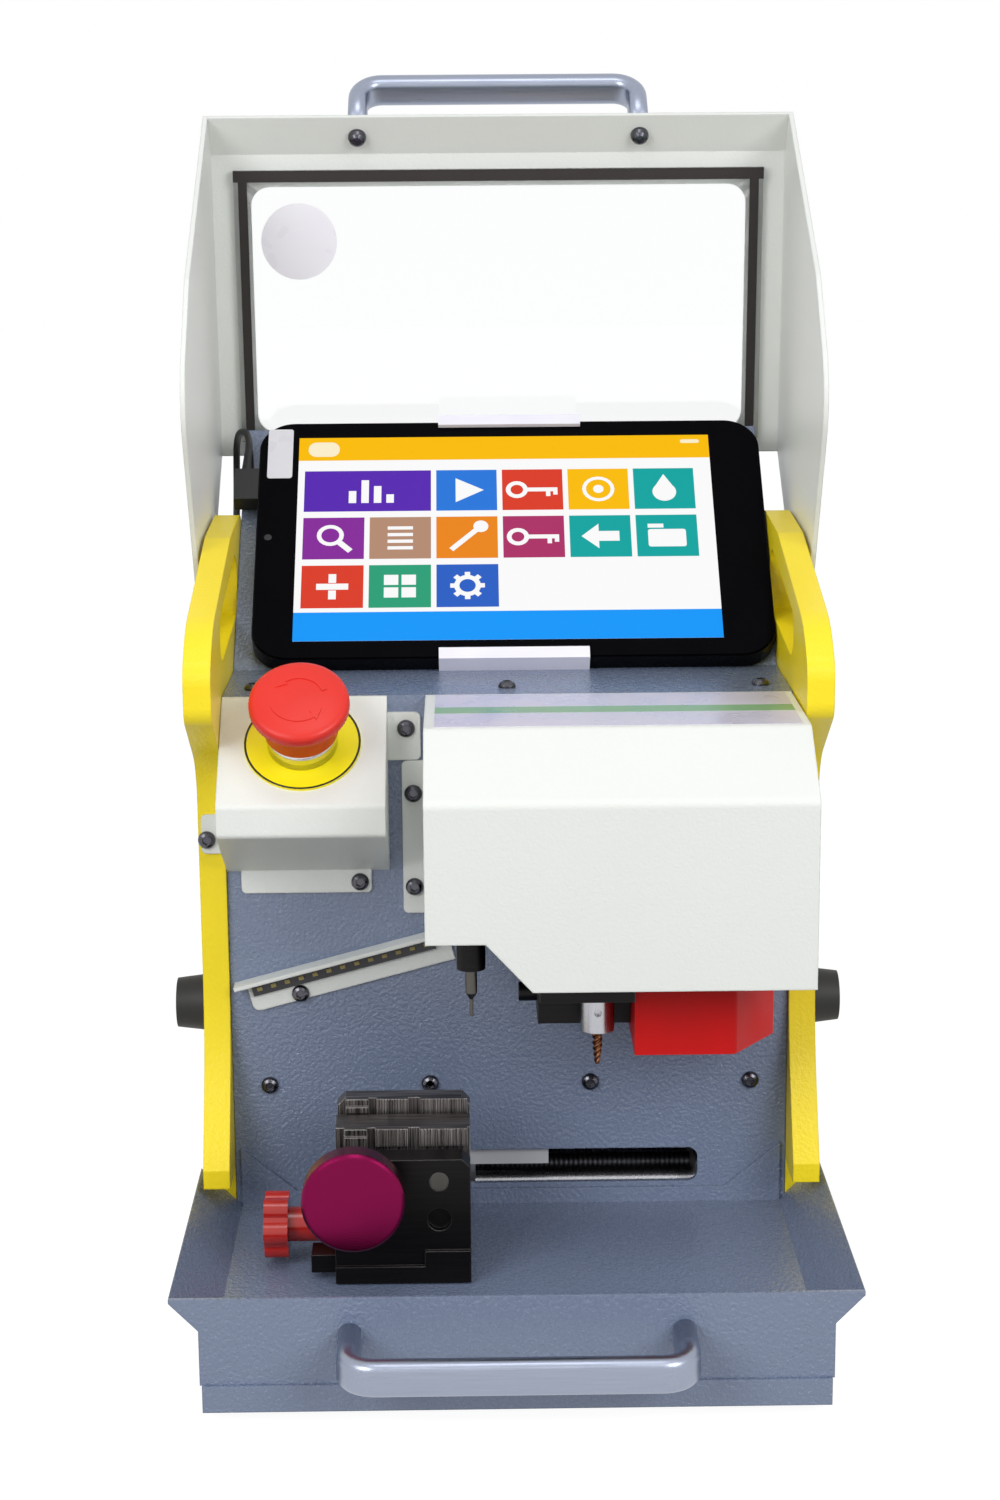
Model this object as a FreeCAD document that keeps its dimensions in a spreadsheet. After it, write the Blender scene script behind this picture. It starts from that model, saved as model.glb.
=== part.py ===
import FreeCAD, Part
import math
import os
import re
import Sketcher

# Key duplicating machine, hood open, in millimetres.
# +X is to the operator's right, +Y to the back and +Z up.
# The origin is on the table, under the middle of the machine.
# Sizes called depth or reach run along Y and heights are above the underside of the base pan.
# Most pieces are placed from the front face of the work panel.
SIZES = {
    "base_width": 223.0,
    "base_depth": 278.0,
    "base_height": 10.0,
    "pan_wall": 2.0,
    "foot_height": 5.0,
    "foot_radius": 9.0,
    "foot_taper": 1.5,
    "foot_inset": 28.0,
    "tray_depth": 126.0,
    "tray_setback": 1.0,
    "tray_sheet": 1.5,
    "tray_floor": 27.0,
    "tray_rim": 42.6,
    "tray_rim_width": 245.0,
    "tray_floor_width": 213.2,
    "tray_box_width": 224.6,
    "tray_flare_start": 31.9,
    "upstand_middle": 33.0,
    "upstand_corner": 51.0,
    "upstand_run": 22.0,
    "panel_setback": 10.354,
    "panel_width": 217.6,
    "panel_sheet": 2.0,
    "ledge_height": 232.8,
    "ledge_depth": 53.5,
    "desk_tilt": 42.45,
    "desk_length": 128.0,
    "slot_left": 72.0,
    "slot_right": 74.0,
    "slot_bottom": 35.0,
    "slot_top": 49.0,
    "slot_corner": 4.0,
    "head_window_left": 2.0,
    "head_window_right": 78.0,
    "head_window_bottom": 124.0,
    "head_window_drop": 22.8,
    "housing_depth": 150.0,
    "housing_gap": 0.37,
    "vent_pitch": 9.0,
    "vent_width": 3.5,
    "vent_length": 60.0,
    "vent_drop": 90.0,
    "seam_gap": 0.2,
    "side_thick": 10.25,
    "side_top_rise": 56.2,
    "side_crest_back": 112.4,
    "side_crest_front": 58.9,
    "side_crest_dip": 3.5,
    "side_brow_reach": 25.4,
    "side_brow_drop": 14.0,
    "side_rear_drop": 7.8,
    "side_nose_reach": 41.0,
    "side_nose_rise": 31.2,
    "side_nose_drop": 0.8,
    "side_throat_drop": 26.8,
    "side_toe_reach": 25.0,
    "side_toe_top": 51.0,
    "side_toe_bottom": 43.6,
    "side_waist": 100.0,
    "grip_front": 2.0,
    "grip_back": 84.0,
    "grip_lower_rise": 11.2,
    "grip_upper_rise": 37.2,
    "grip_rise": 8.0,
    "grip_corner": 9.0,
    "bumper_radius": 11.8,
    "bumper_taper": 1.8,
    "bumper_length": 15.0,
    "bumper_y": 43.6,
    "bumper_z": 97.5,
    "lid_gap": 1.45,
    "lid_sheet": 2.0,
    "pivot_y": 42.0,
    "pivot_drop": 7.5,
    "pivot_radius": 5.0,
    "pivot_boss": 14.0,
    "pivot_lug_reach": 8.4,
    "pivot_lug_rise": 7.0,
    "pivot_head": 8.0,
    "pivot_head_thick": 3.0,
    "running_gap": 0.05,
    "pivot_play": 0.2,
    "lid_crown_y": 154.3,
    "lid_crown_rise": 202.2,
    "lid_panel_tilt": 95.1,
    "lid_panel_length": 127.5,
    "lid_brow_tilt": 127.0,
    "lid_brow_length": 18.8,
    "lid_apex_y": 10.0,
    "lid_apex_rise": 112.2,
    "lid_bow_y": 46.0,
    "lid_bow_rise": 154.7,
    "lid_waist_y": 50.0,
    "lid_waist_rise": 35.2,
    "lid_apex_round": 30.0,
    "window_width": 209.0,
    "window_drop": 14.0,
    "window_tail": 9.0,
    "window_corner": 8.0,
    "window_lap": 7.0,
    "window_thick": 3.0,
    "gasket_width": 4.7,
    "gasket_thick": 1.5,
    "seal_inset": 2.0,
    "seal_side": 3.7,
    "handle_span": 118.0,
    "handle_reach": 34.0,
    "handle_bar": 13.0,
    "handle_thick": 8.0,
    "handle_bend": 14.0,
    "front_handle_z": 20.0,
    "screw_head": 3.4,
    "screw_head_thick": 2.4,
    "screw_head_bevel": 1.2,
    "screw_shank": 2.0,
    "screw_gap": 0.25,
    "panel_screw_pitch": 63.0,
    "panel_screw_z": 77.0,
    "ledge_screw_x": 98.0,
    "ledge_screw_y": 14.0,
    "cover_left": 31.3,
    "cover_right": 108.2,
    "cover_top_reach": 61.7,
    "cover_reach": 91.2,
    "cover_brow_drop": 21.0,
    "cover_skirt": 142.7,
    "cover_left_skirt": 160.6,
    "cover_step_left": 9.7,
    "cover_step_right": 6.9,
    "cover_sheet": 1.6,
    "cover_fold_in": 0.5333,
    "cover_flange": 9.5,
    "cover_bend": 4.0,
    "cover_screw_inset": 4.3,
    "cover_screw_drop": 12.9,
    "cover_screw_rise": 10.6,
    "cover_flange_drop": 25.3,
    "cover_flange_bottom": 147.0,
    "flange_sheet": 1.2,
    "stop_right": 46.0,
    "stop_reach": 40.0,
    "stop_front_height": 11.74,
    "stop_drop": 68.8,
    "stop_sheet": 1.5,
    "stop_tilt": 40.0,
    "stop_ring_radius": 22.0,
    "stop_ring_thick": 1.0,
    "stop_centre": 23.0,
    "stop_stem_radius": 5.0,
    "stop_collar_radius": 13.0,
    "stop_collar_height": 8.0,
    "stop_barrel_radius": 11.0,
    "stop_barrel_drop": 10.0,
    "stop_travel": 4.0,
    "stop_head_radius": 18.7,
    "stop_head_base": 14.0,
    "stop_skirt_radius": 12.8,
    "stop_skirt_height": 6.0,
    "stop_rim_rise": 2.0,
    "stop_rim_height": 3.0,
    "stop_rim_round": 2.0,
    "stop_stem_drop": 7.0,
    "stop_contact": 3.0,
    "stop_head_crown": 1.2,
    "stop_bend": 2.5,
    "tab_corner": 2.0,
    "tab_lap": 4.0,
    "stop_tab_reach": 12.6,
    "stop_tab_drop": 6.4,
    "stop_tab_height": 18.7,
    "stop_tab_screw_inset": 5.5,
    "stop_tab_screw_drop": 12.7,
    "stop_foot_tab_left": 5.5,
    "stop_foot_tab_right": 7.0,
    "stop_foot_tab_height": 8.5,
    "stop_foot_screw_inset": 4.5,
    "stop_foot_screw_drop": 4.2,
    "stop_side_tab_rise": 8.0,
    "stop_side_screw_rise": 13.6,
    "stop_side_screw_inset": 6.9,
    "light_tilt": 14.8,
    "light_length": 85.5,
    "light_depth": 8.0,
    "light_drop": 11.7,
    "light_inset": 4.3,
    "light_corner": 3.0,
    "light_screw_run": 25.2,
    "light_screw_drop": 9.35,
    "strip_inset": 6.0,
    "strip_top": 0.3,
    "strip_height": 5.0,
    "strip_thick": 1.2,
    "light_sheet": 1.6,
    "light_x": 106.7,
    "light_z": 117.7,
    "tablet_width": 210.0,
    "tablet_length": 125.0,
    "tablet_thick": 8.0,
    "tablet_corner": 14.0,
    "tablet_x": 3.5,
    "tablet_lift": 1.7,
    "tablet_drop": 1.8,
    "glass_thick": 1.0,
    "clip_width": 60.0,
    "clip_wall": 1.8,
    "clip_lip": 3.5,
    "clip_gap": 0.2,
    "plug_width": 10.0,
    "plug_length": 16.5,
    "plug_thick": 7.0,
    "plug_up": 82.0,
    "relief_radius": 2.8,
    "relief_length": 13.0,
    "lead_radius": 1.5,
    "rod_radius": 5.0,
    "lead_screw_radius": 4.0,
    "nut_gap": 0.3,
    "block_thick": 12.0,
    "x_block_left": 98.0,
    "x_block_right": 74.0,
    "x_axis_z": 28.0,
    "x_rod_front": 20.0,
    "motor_face": 42.0,
    "motor_length": 20.0,
    "motor_corner": 5.0,
    "carriage_x": 41.0,
    "carriage_width": 54.0,
    "carriage_front": 8.0,
    "carriage_room": 22.0,
    "carriage_bottom": 19.0,
    "carriage_top": 62.0,
    "motor_room": 10.0,
    "saddle_wall": 6.0,
    "arm_width": 44.0,
    "arm_bottom": 37.0,
    "arm_top": 47.0,
    "arm_gap": 0.3,
    "arm_front": 24.0,
    "arm_room": 13.0,
    "lug_thick": 7.0,
    "lug_top": 72.0,
    "y_screw_z": 62.0,
    "shield_width": 112.0,
    "shield_bottom": 42.0,
    "shield_top": 54.0,
    "shield_gap": 0.5,
    "shield_thick": 1.5,
    "clamp_left": 66.0,
    "clamp_right": 16.0,
    "clamp_front": 78.0,
    "clamp_back": 24.0,
    "clamp_clearance": 0.8,
    "clamp_deck": 66.0,
    "clamp_wall": 10.8,
    "clamp_wall_top": 75.2,
    "clamp_wall_left": 70.0,
    "clamp_chamfer": 3.0,
    "clamp_toe": 9.2,
    "clamp_toe_front": 74.0,
    "clamp_toe_back": 62.0,
    "clamp_toe_bottom": 30.0,
    "clamp_toe_top": 36.8,
    "jaw_back_top": 87.5,
    "jaw_back_thick": 21.0,
    "jaw_plate_thick": 8.0,
    "jaw_chamfer": 3.0,
    "jaw_front_top": 82.3,
    "jaw_front_thick": 14.0,
    "jaw_mouth": 2.0,
    "jaw_gap": 0.3,
    "jaw_tongue_bottom": 52.0,
    "jaw_tongue_width": 14.0,
    "tooth_pitch": 1.2,
    "tooth_depth": 0.5,
    "pad_small": 8.6,
    "pad_middle": 12.0,
    "pad_large": 17.8,
    "pad_space": 3.0,
    "pad_space_wide": 4.2,
    "pad_inset": 3.4,
    "pad_step": 1.4,
    "pad_lip": 2.6,
    "pad_thick": 2.0,
    "pad_drop": 6.8,
    "knob_x": 58.3,
    "knob_z": 66.4,
    "knob_radius": 18.7,
    "knob_thick": 10.0,
    "knob_standoff": 10.0,
    "knob_edge": 1.0,
    "knob_screw": 4.0,
    "lock_y": 55.0,
    "lock_z": 41.5,
    "lock_head": 12.5,
    "lock_head_thick": 9.0,
    "lock_lobe": 4.5,
    "lock_neck": 6.5,
    "lock_neck_length": 18.0,
    "lock_stud": 4.0,
    "lock_stud_length": 12.0,
    "pin_x": 27.5,
    "pin_z": 66.8,
    "pin_radius": 3.5,
    "pin_length": 7.0,
    "recess_z": 52.0,
    "recess_radius": 4.4,
    "recess_depth": 3.0,
    "plinth_thick": 1.5,
    "plinth_top": 34.2,
    "plinth_right": 29.7,
    "heel_left": 33.0,
    "heel_top": 40.1,
    "head_left": 10.0,
    "head_right": 45.0,
    "head_front": 64.0,
    "head_bottom": 130.0,
    "head_drop": 36.8,
    "head_slide_left": 2.0,
    "head_slide_right": 78.0,
    "head_slide_front": 10.0,
    "head_slide_back": 54.0,
    "head_slide_bottom": 150.0,
    "head_slide_drop": 42.8,
    "neck_margin": 6.0,
    "nose_bottom": 113.0,
    "nose_front": 36.0,
    "nose_back": 6.0,
    "probe_x": 15.0,
    "probe_boss": 5.4,
    "probe_boss_bottom": 138.0,
    "probe_arm_bottom": 152.0,
    "probe_radius": 2.2,
    "probe_length": 52.0,
    "probe_drop": 14.0,
    "probe_tip_radius": 0.7,
    "probe_tip_length": 9.0,
    "probe_cone_length": 2.5,
    "cutter_x": 32.0,
    "tool_reach": 45.0,
    "spindle_radius": 6.0,
    "spindle_drop": 18.8,
    "collet_radius": 6.4,
    "collet_bottom": 113.7,
    "collet_bore": 2.0,
    "set_screw_radius": 1.3,
    "set_screw_depth": 2.0,
    "set_screw_rise": 8.0,
    "cutter_radius": 1.95,
    "cutter_tip_radius": 1.0,
    "cutter_tip": 100.2,
    "cutter_flute": 7.0,
    "motor_x": 76.0,
    "motor_y": 34.0,
    "spindle_motor_radius": 21.0,
    "motor_clearance": 2.0,
    "motor_plate": 5.0,
    "pulley_drop": 29.8,
    "pulley_height": 10.0,
    "spindle_pulley": 12.0,
    "motor_pulley": 10.0,
    "motor_shaft": 2.5,
    "belt_thick": 1.6,
    "belt_gap": 0.3,
    "guard_right": 99.0,
    "guard_front": 62.0,
    "guard_corner": 82.0,
    "guard_side": 38.0,
    "guard_back": 8.0,
    "guard_bottom": 109.0,
    "guard_top": 143.0,
    "guard_round": 3.0,
    "head_screw_radius": 3.6,
    "head_screw_length": 7.0,
    "head_screw_z": 122.0,
    "head_screw_y": 24.0,
    "z_rod_left": 12.0,
    "z_rod_right": 68.0,
    "z_rod_y": 28.0,
    "z_screw_x": 40.0,
    "z_screw_y": 41.0,
    "z_block_bottom": 100.0,
    "z_block_thick": 12.6,
    "z_motor_length": 32.0,
    "board_width": 140.0,
    "board_height": 80.0,
    "board_thick": 1.6,
    "board_bottom": 112.0,
    "board_post": 8.0,
    "board_post_radius": 3.0,
    "inlet_x": 95.0,
    "inlet_z": 55.0,
    "inlet_radius": 8.0,
    "inlet_depth": 14.0,
    "inlet_flange": 10.0,
    "inlet_flange_thick": 2.5,
    "rocker_z": 85.0,
    "rocker_width": 12.0,
    "rocker_height": 18.0,
    "rocker_case": 16.0,
    "rocker_root": 5.3333,
    "rocker_root_half": 4.0,
    "rocker_low_rise": 1.0,
    "rocker_high_rise": 4.4,
    "rocker_end_gap": 1.8,
    "rocker_wall": 2.0,
    "rocker_gap": 0.6,
    "rocker_pivot_radius": 1.5,
}

# Sizes that follow from others, worked out in the sheet
FOLLOWING = {
    "housing_top": "ledge_height + (housing_depth - panel_sheet - ledge_depth)"
                   " * tan(desk_tilt) - (panel_sheet + housing_gap) / cos(desk_tilt)",
    "vent_height": "housing_top - vent_drop",
    "side_top": "ledge_height + side_top_rise",
    "side_rear_top": "ledge_height - side_rear_drop",
    "side_nose_top": "ledge_height + side_nose_rise",
    "side_nose_bottom": "ledge_height - side_nose_drop",
    "side_throat": "ledge_height - side_throat_drop",
    "grip_bottom": "ledge_height + grip_lower_rise",
    "grip_top": "ledge_height + grip_upper_rise",
    "pivot_z": "ledge_height - pivot_drop",
    "lid_crown_z": "ledge_height + lid_crown_rise",
    "lid_apex_z": "ledge_height + lid_apex_rise",
    "lid_bow_z": "ledge_height + lid_bow_rise",
    "lid_waist_z": "ledge_height + lid_waist_rise",
    "head_window_top": "ledge_height - head_window_drop",
    "z_block_top": "ledge_height - panel_sheet - seam_gap - z_block_thick",
    "head_top": "ledge_height - head_drop",
    "head_slide_top": "ledge_height - head_slide_drop",
    "spindle_top": "ledge_height - spindle_drop",
    "pulley_bottom": "ledge_height - pulley_drop",
    "spindle_motor_length": "head_top - motor_plate - guard_top - motor_clearance",
    "cover_brow": "ledge_height - cover_brow_drop",
    "cover_flange_top": "ledge_height - cover_flange_drop",
    "stop_chin": "ledge_height - stop_reach * tan(stop_tilt) - stop_front_height",
    "stop_foot": "ledge_height - stop_drop",
    "saddle_back": "housing_depth - motor_length - panel_sheet - motor_room",
    "arm_back": "saddle_back - saddle_wall - lug_thick - arm_room",
    "carriage_depth": "arm_back - carriage_room - carriage_front",
    "x_rod_back": "carriage_front + carriage_depth - block_thick",
    "clamp_bottom": "tray_floor + clamp_clearance",
}

doc = FreeCAD.newDocument("KeyDuplicatingMachine")
sheet = doc.addObject("Spreadsheet::Sheet", "Sizes")
for row, (alias, value) in enumerate(SIZES.items(), 1):
    sheet.set(f"A{row}", str(value))
    sheet.setAlias(f"A{row}", alias)
for row, (alias, formula) in enumerate(FOLLOWING.items(), 1):
    sheet.set(f"B{row}", f"={formula}")
    sheet.setAlias(f"B{row}", alias)
doc.recompute()

FUNCTIONS = {"sin", "cos", "tan"}
PANEL = "-panel_setback"
X_AXIS = FreeCAD.Vector(1, 0, 0)
Y_AXIS = FreeCAD.Vector(0, 1, 0)
Z_AXIS = FreeCAD.Vector(0, 0, 1)
NORMALS = {"YZ": X_AXIS, "XZ": Y_AXIS, "XY": Z_AXIS}
TURNS = {
    "X": FreeCAD.Rotation(Y_AXIS, 90),
    "Y": FreeCAD.Rotation(X_AXIS, -90),
    "Z": FreeCAD.Rotation(),
    "-X": FreeCAD.Rotation(Y_AXIS, -90),
    "-Y": FreeCAD.Rotation(X_AXIS, 90),
    "-Z": FreeCAD.Rotation(X_AXIS, 180),
}
OPPOSITE = {"X": "-X", "Y": "-Y", "Z": "-Z", "-X": "X", "-Y": "Y", "-Z": "Z"}
PIECES = []


def size(alias):
    """The number that the sheet holds under a name."""
    return float(sheet.get(alias))


def expr(text):
    """An expression on the sheet, from plain size names."""
    def link(match):
        word = match.group(0)
        return word if word in FUNCTIONS else "Sizes." + word
    return re.sub(r"[a-z_][a-z_0-9]*", link, text)


def bind(obj, **properties):
    for name, text in properties.items():
        obj.setExpression(name, expr(text))
    return obj


def place(obj, x, y, z):
    """Puts an object at a point given from the panel's front face and the base's underside."""
    obj.setExpression("Placement.Base.x", expr(x))
    obj.setExpression("Placement.Base.y", expr(f"{PANEL} + ({y})"))
    obj.setExpression("Placement.Base.z", expr(f"foot_height + ({z})"))
    return obj


def lean(obj, tilt, x, y, z, along="0", out="0", turn=0):
    """Puts an object on a plane that rises to the back, by its distances along the slope and out of it.

    With no turn the object's own Y runs up the slope and its Z out of it."""
    obj.Placement.Rotation = FreeCAD.Rotation(X_AXIS, size(tilt) + turn)
    shift_y = f"({y}) + ({along}) * cos({tilt}) - ({out}) * sin({tilt})"
    shift_z = f"({z}) + ({along}) * sin({tilt}) + ({out}) * cos({tilt})"
    return place(obj, x, shift_y, shift_z)


def box(name, x, y, z, length, width, height):
    obj = doc.addObject("Part::Box", name)
    bind(obj, Length=length, Width=width, Height=height)
    return place(obj, x, y, z)


def span(name, x0, x1, y0, y1, z0, z1):
    """A box between two corners."""
    return box(name, x0, y0, z0, f"({x1}) - ({x0})", f"({y1}) - ({y0})", f"({z1}) - ({z0})")


def rod(name, axis, x, y, z, radius, length):
    obj = doc.addObject("Part::Cylinder", name)
    bind(obj, Radius=radius, Height=length)
    obj.Placement.Rotation = TURNS[axis]
    return place(obj, x, y, z)


def taper(name, axis, x, y, z, radius, end_radius, length):
    obj = doc.addObject("Part::Cone", name)
    bind(obj, Radius1=radius, Radius2=end_radius, Height=length)
    obj.Placement.Rotation = TURNS[axis]
    return place(obj, x, y, z)


def fuse(name, *parts):
    obj = doc.addObject("Part::MultiFuse", name)
    obj.Shapes = list(parts)
    return obj


def cut(name, base, *tools):
    obj = doc.addObject("Part::Cut", name)
    obj.Base = base
    obj.Tool = tools[0] if len(tools) == 1 else fuse(name + "_tools", *tools)
    return obj


def group(name, parts):
    obj = doc.addObject("Part::Compound", name)
    obj.Links = list(parts)
    return obj


def mirrored(name, source):
    obj = doc.addObject("Part::Mirroring", name)
    obj.Source = source
    obj.Normal = X_AXIS
    return obj


def rounded(name, base, radius, pick):
    """A fillet on the edges that pick accepts."""
    doc.recompute()
    obj = doc.addObject("Part::Fillet", name)
    obj.Base = base
    chosen = [number for number, edge in enumerate(base.Shape.Edges, 1) if pick(edge)]
    obj.Edges = [(number, size(radius), size(radius)) for number in chosen]
    return obj


def along(axis):
    """Accepts the straight edges that run along one axis."""
    def pick(edge):
        direction = edge.Vertexes[-1].Point - edge.Vertexes[0].Point
        if direction.Length == 0:
            return False
        return abs(getattr(direction.normalize(), axis)) > 1 - 1e-6
    return pick


def outline(body, name, plane, points):
    """A closed sketch whose corners are bound to the sheet."""
    sketch = body.newObject("Sketcher::SketchObject", name)
    support = [item for item in body.Origin.OriginFeatures if item.Role == plane + "_Plane"]
    sketch.AttachmentSupport = [(support[0], "")]
    sketch.MapMode = "FlatFace"
    count = len(points)
    start = [FreeCAD.Vector(math.cos(2 * math.pi * k / count), math.sin(2 * math.pi * k / count), 0)
             for k in range(count)]
    for k in range(count):
        sketch.addGeometry(Part.LineSegment(start[k], start[(k + 1) % count]), False)
    for k in range(count):
        sketch.addConstraint(Sketcher.Constraint("Coincident", k, 2, (k + 1) % count, 1))
    for k, (across, up) in enumerate(points):
        for kind, text, now in (("DistanceX", across, start[k].x), ("DistanceY", up, start[k].y)):
            number = sketch.addConstraint(Sketcher.Constraint(kind, -1, 1, k, 1, now))
            sketch.setExpression(f"Constraints[{number}]", expr(text))
    return sketch


def plate(name, plane, points, thick, x="0", y="0", z="0", rounds=()):
    """A padded outline; rounds lists the corners to round as (point number, radius name)."""
    body = doc.addObject("PartDesign::Body", name)
    sketch = outline(body, name + "_outline", plane, points)
    pad = body.newObject("PartDesign::Pad", name + "_pad")
    pad.Profile = sketch
    pad.Reversed = plane == "XZ"
    bind(pad, Length=thick)
    doc.recompute()
    for corner, radius in rounds:
        spot = sketch.Placement.multVec(sketch.getPoint(corner, 1))
        normal = NORMALS[plane]
        wanted = []
        for number, edge in enumerate(body.Tip.Shape.Edges, 1):
            ends = [vertex.Point for vertex in edge.Vertexes]
            near = min((end - spot).Length for end in ends) < 1e-3
            upright = len(ends) == 2 and (ends[1] - ends[0]).cross(normal).Length < 1e-3
            if near and upright:
                wanted.append(f"Edge{number}")
        base = body.Tip
        fillet = body.newObject("PartDesign::Fillet", f"{name}_round_{corner}")
        fillet.Base = (base, wanted)
        bind(fillet, Radius=radius)
        doc.recompute()
    return place(body, x, y, z)


def finish(label, obj):
    obj.Label = label
    PIECES.append(obj)
    return obj


def screw(name, axis, x, y, z, reach):
    """A button-head screw: its head stands on a face at the point, its shank goes in for the reach."""
    head = taper(name + "_head", axis, x, y, z, "screw_head", "screw_head - screw_head_bevel",
                 "screw_head_thick")
    shank = rod(name + "_shank", OPPOSITE[axis], x, y, z, "screw_shank", reach)
    return fuse(name, head, shank)


def screw_hole(name, axis, x, y, z, depth):
    return rod(name, OPPOSITE[axis], x, y, z, "screw_shank + screw_gap", depth)


# Base pan and feet
BASE_FRONT = "-tray_depth"
BASE_BACK = "base_depth - tray_depth"
pan_block = span("pan_block", "-base_width / 2", "base_width / 2", BASE_FRONT, BASE_BACK, "0", "base_height")
pan_hollow = span("pan_hollow", "pan_wall - base_width / 2", "base_width / 2 - pan_wall",
                  f"{BASE_FRONT} + pan_wall", f"{BASE_BACK} - pan_wall", "pan_wall", "base_height + pan_wall")
finish("base_pan", cut("base_pan", pan_block, pan_hollow))
feet = []
for side in ("-1", "1"):
    for end in (f"{BASE_FRONT} + foot_inset", f"{BASE_BACK} - foot_inset"):
        feet.append(taper(f"foot_{len(feet)}", "-Z", f"{side} * (base_width / 2 - foot_inset)", end, "0",
                          "foot_radius", "foot_radius - foot_taper", "foot_height"))
finish("feet", group("feet", feet))

# Chip tray: a trough with flared walls, an apron round three sides and gussets that climb the panel
TRAY_FRONT = "tray_setback - tray_depth"
trough = plate("trough", "XZ", [
    ("-tray_rim_width / 2", "tray_rim"),
    ("-tray_floor_width / 2", "tray_floor"),
    ("tray_floor_width / 2", "tray_floor"),
    ("tray_rim_width / 2", "tray_rim"),
    ("tray_rim_width / 2", "tray_rim - tray_sheet"),
    ("tray_floor_width / 2 + tray_sheet / 2", "tray_floor - tray_sheet"),
    ("-tray_floor_width / 2 - tray_sheet / 2", "tray_floor - tray_sheet"),
    ("-tray_rim_width / 2", "tray_rim - tray_sheet"),
], "tray_depth - tray_setback", y=TRAY_FRONT)
apron = plate("apron", "XZ", [
    ("-tray_box_width / 2", "base_height"),
    ("tray_box_width / 2", "base_height"),
    ("tray_box_width / 2", "tray_flare_start"),
    ("tray_rim_width / 2", "tray_rim"),
    ("-tray_rim_width / 2", "tray_rim"),
    ("-tray_box_width / 2", "tray_flare_start"),
], "tray_sheet", y=TRAY_FRONT)
upstand = plate("upstand", "XZ", [
    ("-tray_floor_width / 2", "tray_floor - tray_sheet"),
    ("tray_floor_width / 2", "tray_floor - tray_sheet"),
    ("tray_floor_width / 2", "upstand_corner"),
    ("tray_floor_width / 2 - upstand_run", "upstand_middle"),
    ("upstand_run - tray_floor_width / 2", "upstand_middle"),
    ("-tray_floor_width / 2", "upstand_corner"),
], "tray_sheet", y="-tray_sheet")
APRON_TOP = "tray_floor + (tray_box_width - tray_floor_width) / 2 - tray_sheet"
aprons = [span(f"side_apron_{side}", f"{side} * tray_box_width / 2 - tray_sheet * ({side} + 1) / 2",
               f"{side} * tray_box_width / 2 + tray_sheet * (1 - {side}) / 2",
               TRAY_FRONT, "0", "base_height", APRON_TOP) for side in (-1, 1)]
finish("chip_tray", fuse("chip_tray", trough, apron, upstand, *aprons))

# Work panel: one folded sheet with the slot, the ledge and the sloping desk
DESK_TOP_Y = "ledge_depth + desk_length * cos(desk_tilt)"
DESK_TOP_Z = "ledge_height + desk_length * sin(desk_tilt)"
panel_sheet = plate("panel_sheet", "YZ", [
    ("0", "pan_wall"),
    ("0", "ledge_height"),
    ("ledge_depth", "ledge_height"),
    (DESK_TOP_Y, DESK_TOP_Z),
    (f"{DESK_TOP_Y} + panel_sheet * sin(desk_tilt)", f"{DESK_TOP_Z} - panel_sheet * cos(desk_tilt)"),
    ("ledge_depth + panel_sheet * tan(desk_tilt / 2)", "ledge_height - panel_sheet"),
    ("panel_sheet", "ledge_height - panel_sheet"),
    ("panel_sheet", "pan_wall"),
], "panel_width", x="-panel_width / 2")
slot = rounded("slot", span("slot_block", "-slot_left", "slot_right", "-panel_sheet", "2 * panel_sheet",
                            "slot_bottom", "slot_top"), "slot_corner", along("y"))
head_window = span("head_window", "head_window_left", "head_window_right", "-panel_sheet", "2 * panel_sheet",
                   "head_window_bottom", "head_window_top")
PANEL_SCREWS = [(f"{step} * panel_screw_pitch / 2", "panel_screw_z") for step in (-3, -1, 1, 3)]
LEDGE_SCREWS = [f"{step} * ledge_screw_x" for step in (-1, 0, 1)]
FLANGE_X = "-cover_left - cover_flange + cover_screw_inset"
COVER_SCREWS = [(FLANGE_X, "cover_flange_top - cover_screw_drop"),
                (FLANGE_X, "cover_flange_bottom + cover_screw_rise")]
STOP_SCREWS = [("-stop_right + stop_tab_reach - stop_tab_screw_inset", "ledge_height - stop_tab_screw_drop"),
               ("-stop_right - stop_foot_tab_right - stop_foot_screw_inset",
                "stop_foot - stop_foot_screw_drop")]
SIDE_IN = "panel_width / 2 + seam_gap"
SIDE_OUT = "panel_width / 2 + seam_gap + side_thick"
SIDE_SCREW = (f"-({SIDE_IN}) - stop_side_screw_inset", "stop_foot + stop_side_screw_rise")
LIGHT_SCREW = ("-light_x + light_screw_run", "light_z + light_screw_run * tan(light_tilt) - light_screw_drop")
holes = [screw_hole(f"panel_hole_{k}", "-Y", x, "-panel_sheet", z, "3 * panel_sheet")
         for k, (x, z) in enumerate(PANEL_SCREWS + COVER_SCREWS + STOP_SCREWS + [LIGHT_SCREW])]
holes += [screw_hole(f"ledge_hole_{k}", "Z", x, "ledge_screw_y", "ledge_height + panel_sheet",
                     "3 * panel_sheet")
          for k, x in enumerate(LEDGE_SCREWS)]
finish("work_panel", cut("work_panel", panel_sheet, slot, head_window, *holes))
SHANK = "panel_sheet * 3"
screws = [screw(f"panel_screw_{k}", "-Y", x, "0", z, SHANK) for k, (x, z) in enumerate(PANEL_SCREWS)]
screws += [screw(f"ledge_screw_{k}", "Z", x, "ledge_screw_y", "ledge_height", SHANK)
           for k, x in enumerate(LEDGE_SCREWS)]
screws += [screw(f"tab_screw_{k}", "-Y", x, "-flange_sheet", z, SHANK)
           for k, (x, z) in enumerate(COVER_SCREWS + STOP_SCREWS + [LIGHT_SCREW])]
screws.append(screw("side_screw", "-Y", SIDE_SCREW[0], "-panel_sheet - flange_sheet", SIDE_SCREW[1], SHANK))
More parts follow.
